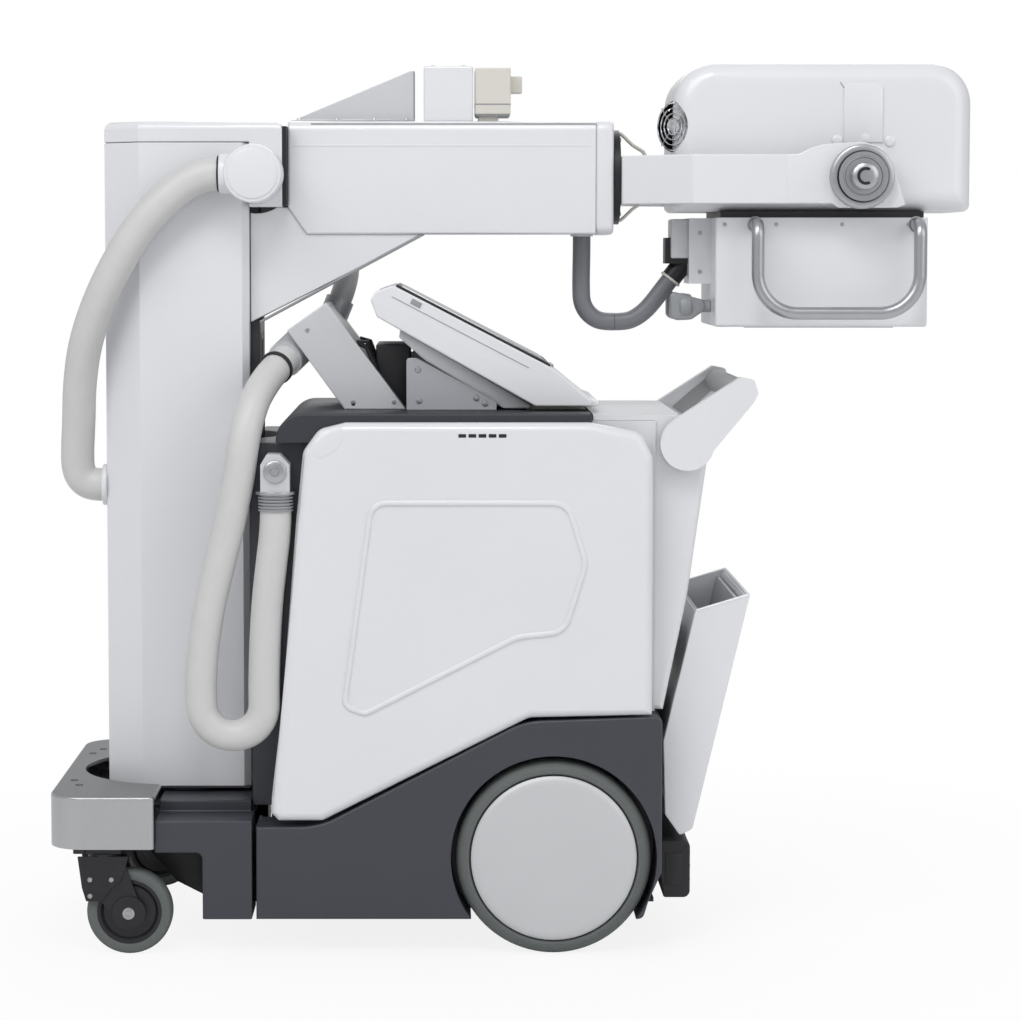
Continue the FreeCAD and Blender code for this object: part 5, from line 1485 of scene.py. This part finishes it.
@dataclass
class Collimator:
    """Beam box with its side cover, socket, grab bars and field knobs."""

    half: float = 118.0
    side_screws: Outline = ((312, 1062), (388, 1062), (485, 1062), (583, 1062))
    cover_screws: Outline = ((282, 1050), (282, 992))
    knob_spot: tuple[float, float, float] = (252.0, 36.0, 940.0)
    knob: Outline = ((0, 0), (14.5, 0), (17.8, 1.4), (19, 4.0), (19, 14.0), (17.6, 17.4),
                     (13.5, 19.5), (10.6, 24), (9.0, 30), (9.0, 46.4), (6, 46.7), (6, 63.7),
                     (0, 63.7))
    lever: Outline = ((238, 958), (245, 962), (262, 957), (284, 951), (290, 946), (290, 934),
                      (270, 920), (246, 919), (238, 925))
    bar_feet: tuple[float, ...] = (357, 594)

    def build(self) -> None:
        """Soften the boxes and add screws, window and knobs."""
        refined("collimator_box", Finishes.shell, 2.0, 3)
        refined("lead_socket", Finishes.black, 1.2)
        refined("grab_bars", Finishes.tube, 0.0)
        self._screws()
        self._window()
        self._knobs()
        self._bars()

    def _screws(self) -> None:
        """Screws along the top of both sides, corner seams and the side cover's screws."""
        screws = Piece("collimator_screws").side_screws(self.side_screws, self.half, 3.2, 1.0)
        screws.side_screws(self.cover_screws, 45, 3.2, 1.4)
        screws.done("head", Finishes.steel, "body_shell")
        seams = Piece("collimator_seams").side_boxes((306, 111, 1071.6), (606, 113, 1081.4), 0.0)
        seams.box((306, -111, 1071.6), (606, 111, 1081.2), 0.0)
        seams.done("head", Finishes.black, "body_shell")

    def _window(self) -> None:
        """Beam window and its frame under the box."""
        Piece("beam_window_frame").box((345, -92, 909.4), (566, 92, 911.4), 0.8, 2).done(
            "head", Finishes.grey_paint, "body_shell")
        Piece("beam_window").box((392, -62, 908.8), (520, 62, 909.8), 0.3, 1).done(
            "head", Finishes.glass, "screen_glass")

    def _knobs(self) -> None:
        """Moulded lever knobs of the field blades, each with a cone neck and a rib."""
        x, apart, z = self.knob_spot
        for side in Side:
            y = side.value * apart
            node = f"field_knob_{side.word}"
            knob = Piece(f"{node}_lever").turned(self.knob, (x, y, z), Axis.X, 48)
            knob.prism(self.lever, y - 13, y + 13, Axis.Y, 5.0, 3)
            knob.done(body_of(node), Finishes.grey_paint, "guide_metal", (node,))

    def _bars(self) -> None:
        """Foot rings of the grab bars, the side cover's back and the lead's tie."""
        feet = Piece("grab_bar_feet")
        for side in Side:
            for x in self.bar_feet:
                feet.disc((x, side.value * (self.half - 0.4), 1062), side.out, 12.0, 3.0, 1.0, 9.6, 32)
        feet.done("head", Finishes.silver, "bumper_metal")
        Piece("side_cover_back").box((240, -30, 1012), (267, 30, 1071), 3.0, 3).done(
            "head", Finishes.guide, "body_shell")
        way = Vector((13.0, 0.0, 16.6)).normalized()
        spot = Vector(Hoses.lead_yoke.route[-1]) * 1000.0 - way * 4.0
        Piece("lead_tie").disc(tuple(spot), way, 17.0, 4.0, 1.0, 15.2, 32).done(
            "head", Finishes.cream, "dark_plastic")


# Hoses


@dataclass(frozen=True)
class Hose:
    """A hose's route in metres, its sizes and the bodies at its two ends."""

    name: str
    node: str
    route: tuple[Point, ...]
    diameter: float
    length: float
    finish: Recipe
    bodies: tuple[str, ...]
    stiffness: str = "medium"

    def _curve(self, bevel: float) -> bpy.types.Object:
        """Open NURBS spline along the route.

        Args:
            bevel: Radius of the tube, or 0 for the bare line.

        Returns:
            The curve object.
        """
        data = bpy.data.curves.new(self.name, "CURVE")
        data.dimensions = "3D"
        data.resolution_u = 12
        data.bevel_depth = bevel
        data.bevel_resolution = 7
        data.use_fill_caps = True
        spline = data.splines.new("NURBS")
        spline.points.add(len(self.route) - 1)
        for point, place in zip(spline.points, self.route):
            point.co = (*place, 1.0)
        spline.order_u = 3
        spline.use_endpoint_u = True
        return linked(self.name + "_line", data)

    def _mesh(self, bevel: float) -> bpy.types.Mesh:
        """Mesh of the curve.

        Args:
            bevel: Radius of the tube, or 0 for the bare line.

        Returns:
            The new mesh.
        """
        made = self._curve(bevel)
        bpy.context.view_layer.update()
        mesh = bpy.data.meshes.new_from_object(
            made.evaluated_get(bpy.context.evaluated_depsgraph_get()))
        bpy.data.objects.remove(made)
        return mesh

    def track(self) -> list[Vector]:
        """Points along the centreline."""
        return [vert.co.copy() for vert in self._mesh(0.0).vertices]

    def build(self, declare: bool = True, with_pieces: Sequence[object] = ()) -> bpy.types.Object:
        """Args:
            declare: Not used.
            with_pieces: Not used.

        Returns:
            The tube.
        """
        track = self.track()
        mesh = self._mesh(self.diameter / 2)
        cleaned = bmesh.new()
        cleaned.from_mesh(mesh)
        bmesh.ops.remove_doubles(cleaned, verts=cleaned.verts, dist=1e-6)
        bmesh.ops.recalc_face_normals(cleaned, faces=cleaned.faces)
        cleaned.to_mesh(mesh)
        cleaned.free()
        mesh.name = self.name
        mesh.shade_smooth()
        mesh.set_sharp_from_angle(angle=math.radians(50.0))
        mesh.materials.clear()
        mesh.materials.append(Finishes.get(self.finish))
        made = linked(self.name, mesh)
        slot_of(self.node)
        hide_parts(self.node)
        if len(self.bodies) == 2:
            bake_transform(made)
        else:
            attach(made, self.bodies[0])
        LOG.info("hose %s, %.3f m", self.name, self.length)
        return made


def metres(*points: tuple[float, float, float]) -> tuple[Point, ...]:
    """Route given in millimetres."""
    return tuple(tuple(part / 1000.0 for part in point) for point in points)


class Hoses:
    """The riser, supply and link hoses and the head's lead."""

    riser = Hose("riser_hose_tube", "riser_hose", metres(
        (-431, -134, 1136), (-456, -134, 1136), (-496, -134, 1112), (-542, -134, 1068),
        (-580, -130, 1010), (-612, -116, 948), (-636, -94, 884), (-647, -72, 820),
        (-650, -56, 768), (-654, -45, 724), (-654, -40, 694), (-646, -38, 679),
        (-632, -38, 671), (-616, -38, 671)), 0.050, 0.593, Finishes.hose, ("mast", "column"))
    supply = Hose("supply_hose_tube", "supply_hose", metres(
        (-345, -225, 654), (-345, -225, 624), (-352, -225, 568), (-358, -225, 514),
        (-361, -225, 462), (-362.5, -225, 420), (-363, -225, 384), (-362.5, -225, 350.7),
        (-379.9, -225, 326.8), (-408, -225, 317.7), (-436.1, -225, 326.8),
        (-453.5, -225, 350.7), (-455, -225, 386), (-453, -225, 430), (-447, -225, 480),
        (-437, -225, 530), (-424, -225, 582), (-410, -226, 638), (-398, -226, 696),
        (-391, -227, 750), (-380, -204, 800), (-364, -160, 832), (-348, -122, 852),
        (-338, -98, 862)), 0.046, 1.008, Finishes.hose, ("chassis",))
    link = Hose("link_hose_tube", "link_hose", metres(
        (-262, 88, 948), (-254, 91, 968), (-249, 96, 1002), (-253, 108, 1045),
        (-272, 118, 1089), (-307, 124, 1123), (-352, 127, 1143), (-401, 127, 1143),
        (-447, 126, 1124), (-481, 125, 1090), (-499, 124, 1045), (-500, 123, 1000),
        (-500, 123, 955)), 0.036, 0.530, Finishes.hose, ("chassis", "column"))
    lead_arm = Hose("head_lead_arm_tube", "head_lead_arm", metres(
        (107, 0, 1045), (107, 0, 1016), (106.4, 0, 990), (106.4, 0, 968), (107, 0, 948),
        (113.1, 0, 933.3), (124.3, 0, 922.1), (139, 0, 916), (156.7, 0, 916)), 0.027, 0.163,
        Finishes.lead, ("mast", "yoke"))
    lead_yoke = Hose("head_lead_yoke_tube", "head_lead_yoke", metres(
        (157.3, 0, 916), (174, 0, 916), (190.5, 0, 922.5), (205, 0, 934), (217.5, 0, 948.5),
        (230, 0, 965.5), (243, 0, 982.1)), 0.027, 0.114, Finishes.lead, ("yoke", "head"))

    def build(self) -> None:
        """Make every hose."""
        self.riser.build()
        self.supply.build()
        self.link.build()
        second = self.lead_yoke.build(declare=False)
        self.lead_arm.build(with_pieces=[second])


# Studio


@dataclass
class Studio:
    """Pale floor, soft lamps and the camera at the photograph's angle."""

    eye: Point = (-0.106, -4.359, 1.022)
    pitch: float = 86.0
    lens: float = 101.26
    shift: tuple[float, float] = (0.0676, -0.0566)
    aim: Point = (0.0, 0.0, 0.7)
    lamps: tuple[tuple[str, Point, float, float], ...] = (
        ("key", (-2.6, -3.4, 4.2), 3.2, 84.0), ("fill", (3.4, -3.0, 2.6), 3.4, 42.0),
        ("back", (0.6, 3.6, 3.4), 3.0, 52.0), ("strip", (-0.2, -2.4, 3.8), 1.0, 28.0))
    near_whiteness: float = 0.86

    def build(self) -> None:
        """Set the view, the floor, the lamps and the camera."""
        scene = bpy.context.scene
        scene.view_settings.view_transform = "Standard"
        self._floor()
        self._world()
        for name, place, size, power in self.lamps:
            self._lamp(name, place, size, power)
        data = bpy.data.cameras.new("camera")
        data.lens = self.lens
        data.sensor_width = 36.0
        data.shift_x, data.shift_y = self.shift
        data.clip_end = 60.0
        camera = linked("camera", data)
        camera.location = self.eye
        camera.rotation_euler = (math.radians(self.pitch), 0.0, 0.0)
        scene.camera = camera

    def _floor(self) -> None:
        """Large pale floor."""
        made = bmesh.new()
        bmesh.ops.create_grid(made, x_segments=1, y_segments=1, size=30.0)
        mesh = bpy.data.meshes.new("floor")
        made.to_mesh(mesh)
        made.free()
        floor = linked("floor", mesh)
        paint = Paint("studio_floor")
        cloud = paint.noise(paint.place(), 0.6, 2.0)
        paint.set(Base_Color=paint.blend(cloud, (0.86, 0.86, 0.865), (0.88, 0.88, 0.885)),
                  Roughness=0.7)
        self._fade(paint)
        mesh.materials.append(paint.material)

    def _fade(self, paint: Paint) -> None:
        """Let the camera see the floor turn white away from the machine.

        Args:
            paint: Paint of the floor.
        """
        glow = paint.node("ShaderNodeEmission", None, {0: (1.0, 1.0, 1.0), 1: 1.0})
        place = paint.node("ShaderNodeTexCoord", output="Object")
        far = paint.node("ShaderNodeVectorMath", {"operation": "LENGTH"}, {0: place}, "Value")
        reach = paint.node("ShaderNodeMapRange", {"clamp": True},
                           {"Value": far, "From Min": 0.3, "From Max": 1.5,
                            "To Min": self.near_whiteness, "To Max": 1.0})
        seen = paint.node("ShaderNodeLightPath", output="Is Camera Ray")
        mix = paint.node("ShaderNodeMixShader", None,
                         {0: reach * seen, 1: Wire(paint, paint.shader.outputs[0]), 2: glow})
        output = next(node for node in paint.tree.nodes if node.type == "OUTPUT_MATERIAL")
        paint.feed(output.inputs[0], mix)

    def _world(self) -> None:
        """White to the camera and in reflections, and a plain level of light on the object."""
        world = bpy.data.worlds.new("studio")
        bpy.context.scene.world = world
        graph = Graph(world)
        seen = graph.node("ShaderNodeMath", {"operation": "MAXIMUM"}, {
            0: graph.node("ShaderNodeLightPath", output="Is Camera Ray"),
            1: graph.node("ShaderNodeLightPath", output="Is Transmission Ray")})
        light = graph.node("ShaderNodeBackground", None, {0: (0.97, 0.98, 1.0), 1: 0.5})
        shown = graph.node("ShaderNodeBackground", None, {0: (1.0, 1.0, 1.0), 1: 1.0})
        mix = graph.node("ShaderNodeMixShader", None, {0: seen, 1: light, 2: shown})
        graph.node("ShaderNodeOutputWorld", None, {0: mix})

    def _lamp(self, name: str, place: Point, size: float, power: float) -> None:
        """Square area lamp aimed at the middle of the machine.

        Args:
            name: Name of the lamp.
            place: Place of its middle.
            size: Edge of its square.
            power: Power in watts.
        """
        data = bpy.data.lights.new(name, "AREA")
        data.size = size
        data.energy = power
        lamp = linked(name, data)
        lamp.location = place
        aim = Vector(self.aim) - Vector(place)
        lamp.rotation_mode = "QUATERNION"
        lamp.rotation_quaternion = aim.to_track_quat("-Z", "Y")


def main() -> None:
    """Build the pieces, the hoses and the studio."""
    logging.basicConfig(level=logging.INFO, format="%(message)s")
    for group in (Base, Wheels, Cabinet, Console, Column, Arm, Yoke, Head, Collimator, Hoses,
                  Studio):
        group().build()


if __name__ == "__main__":
    main()
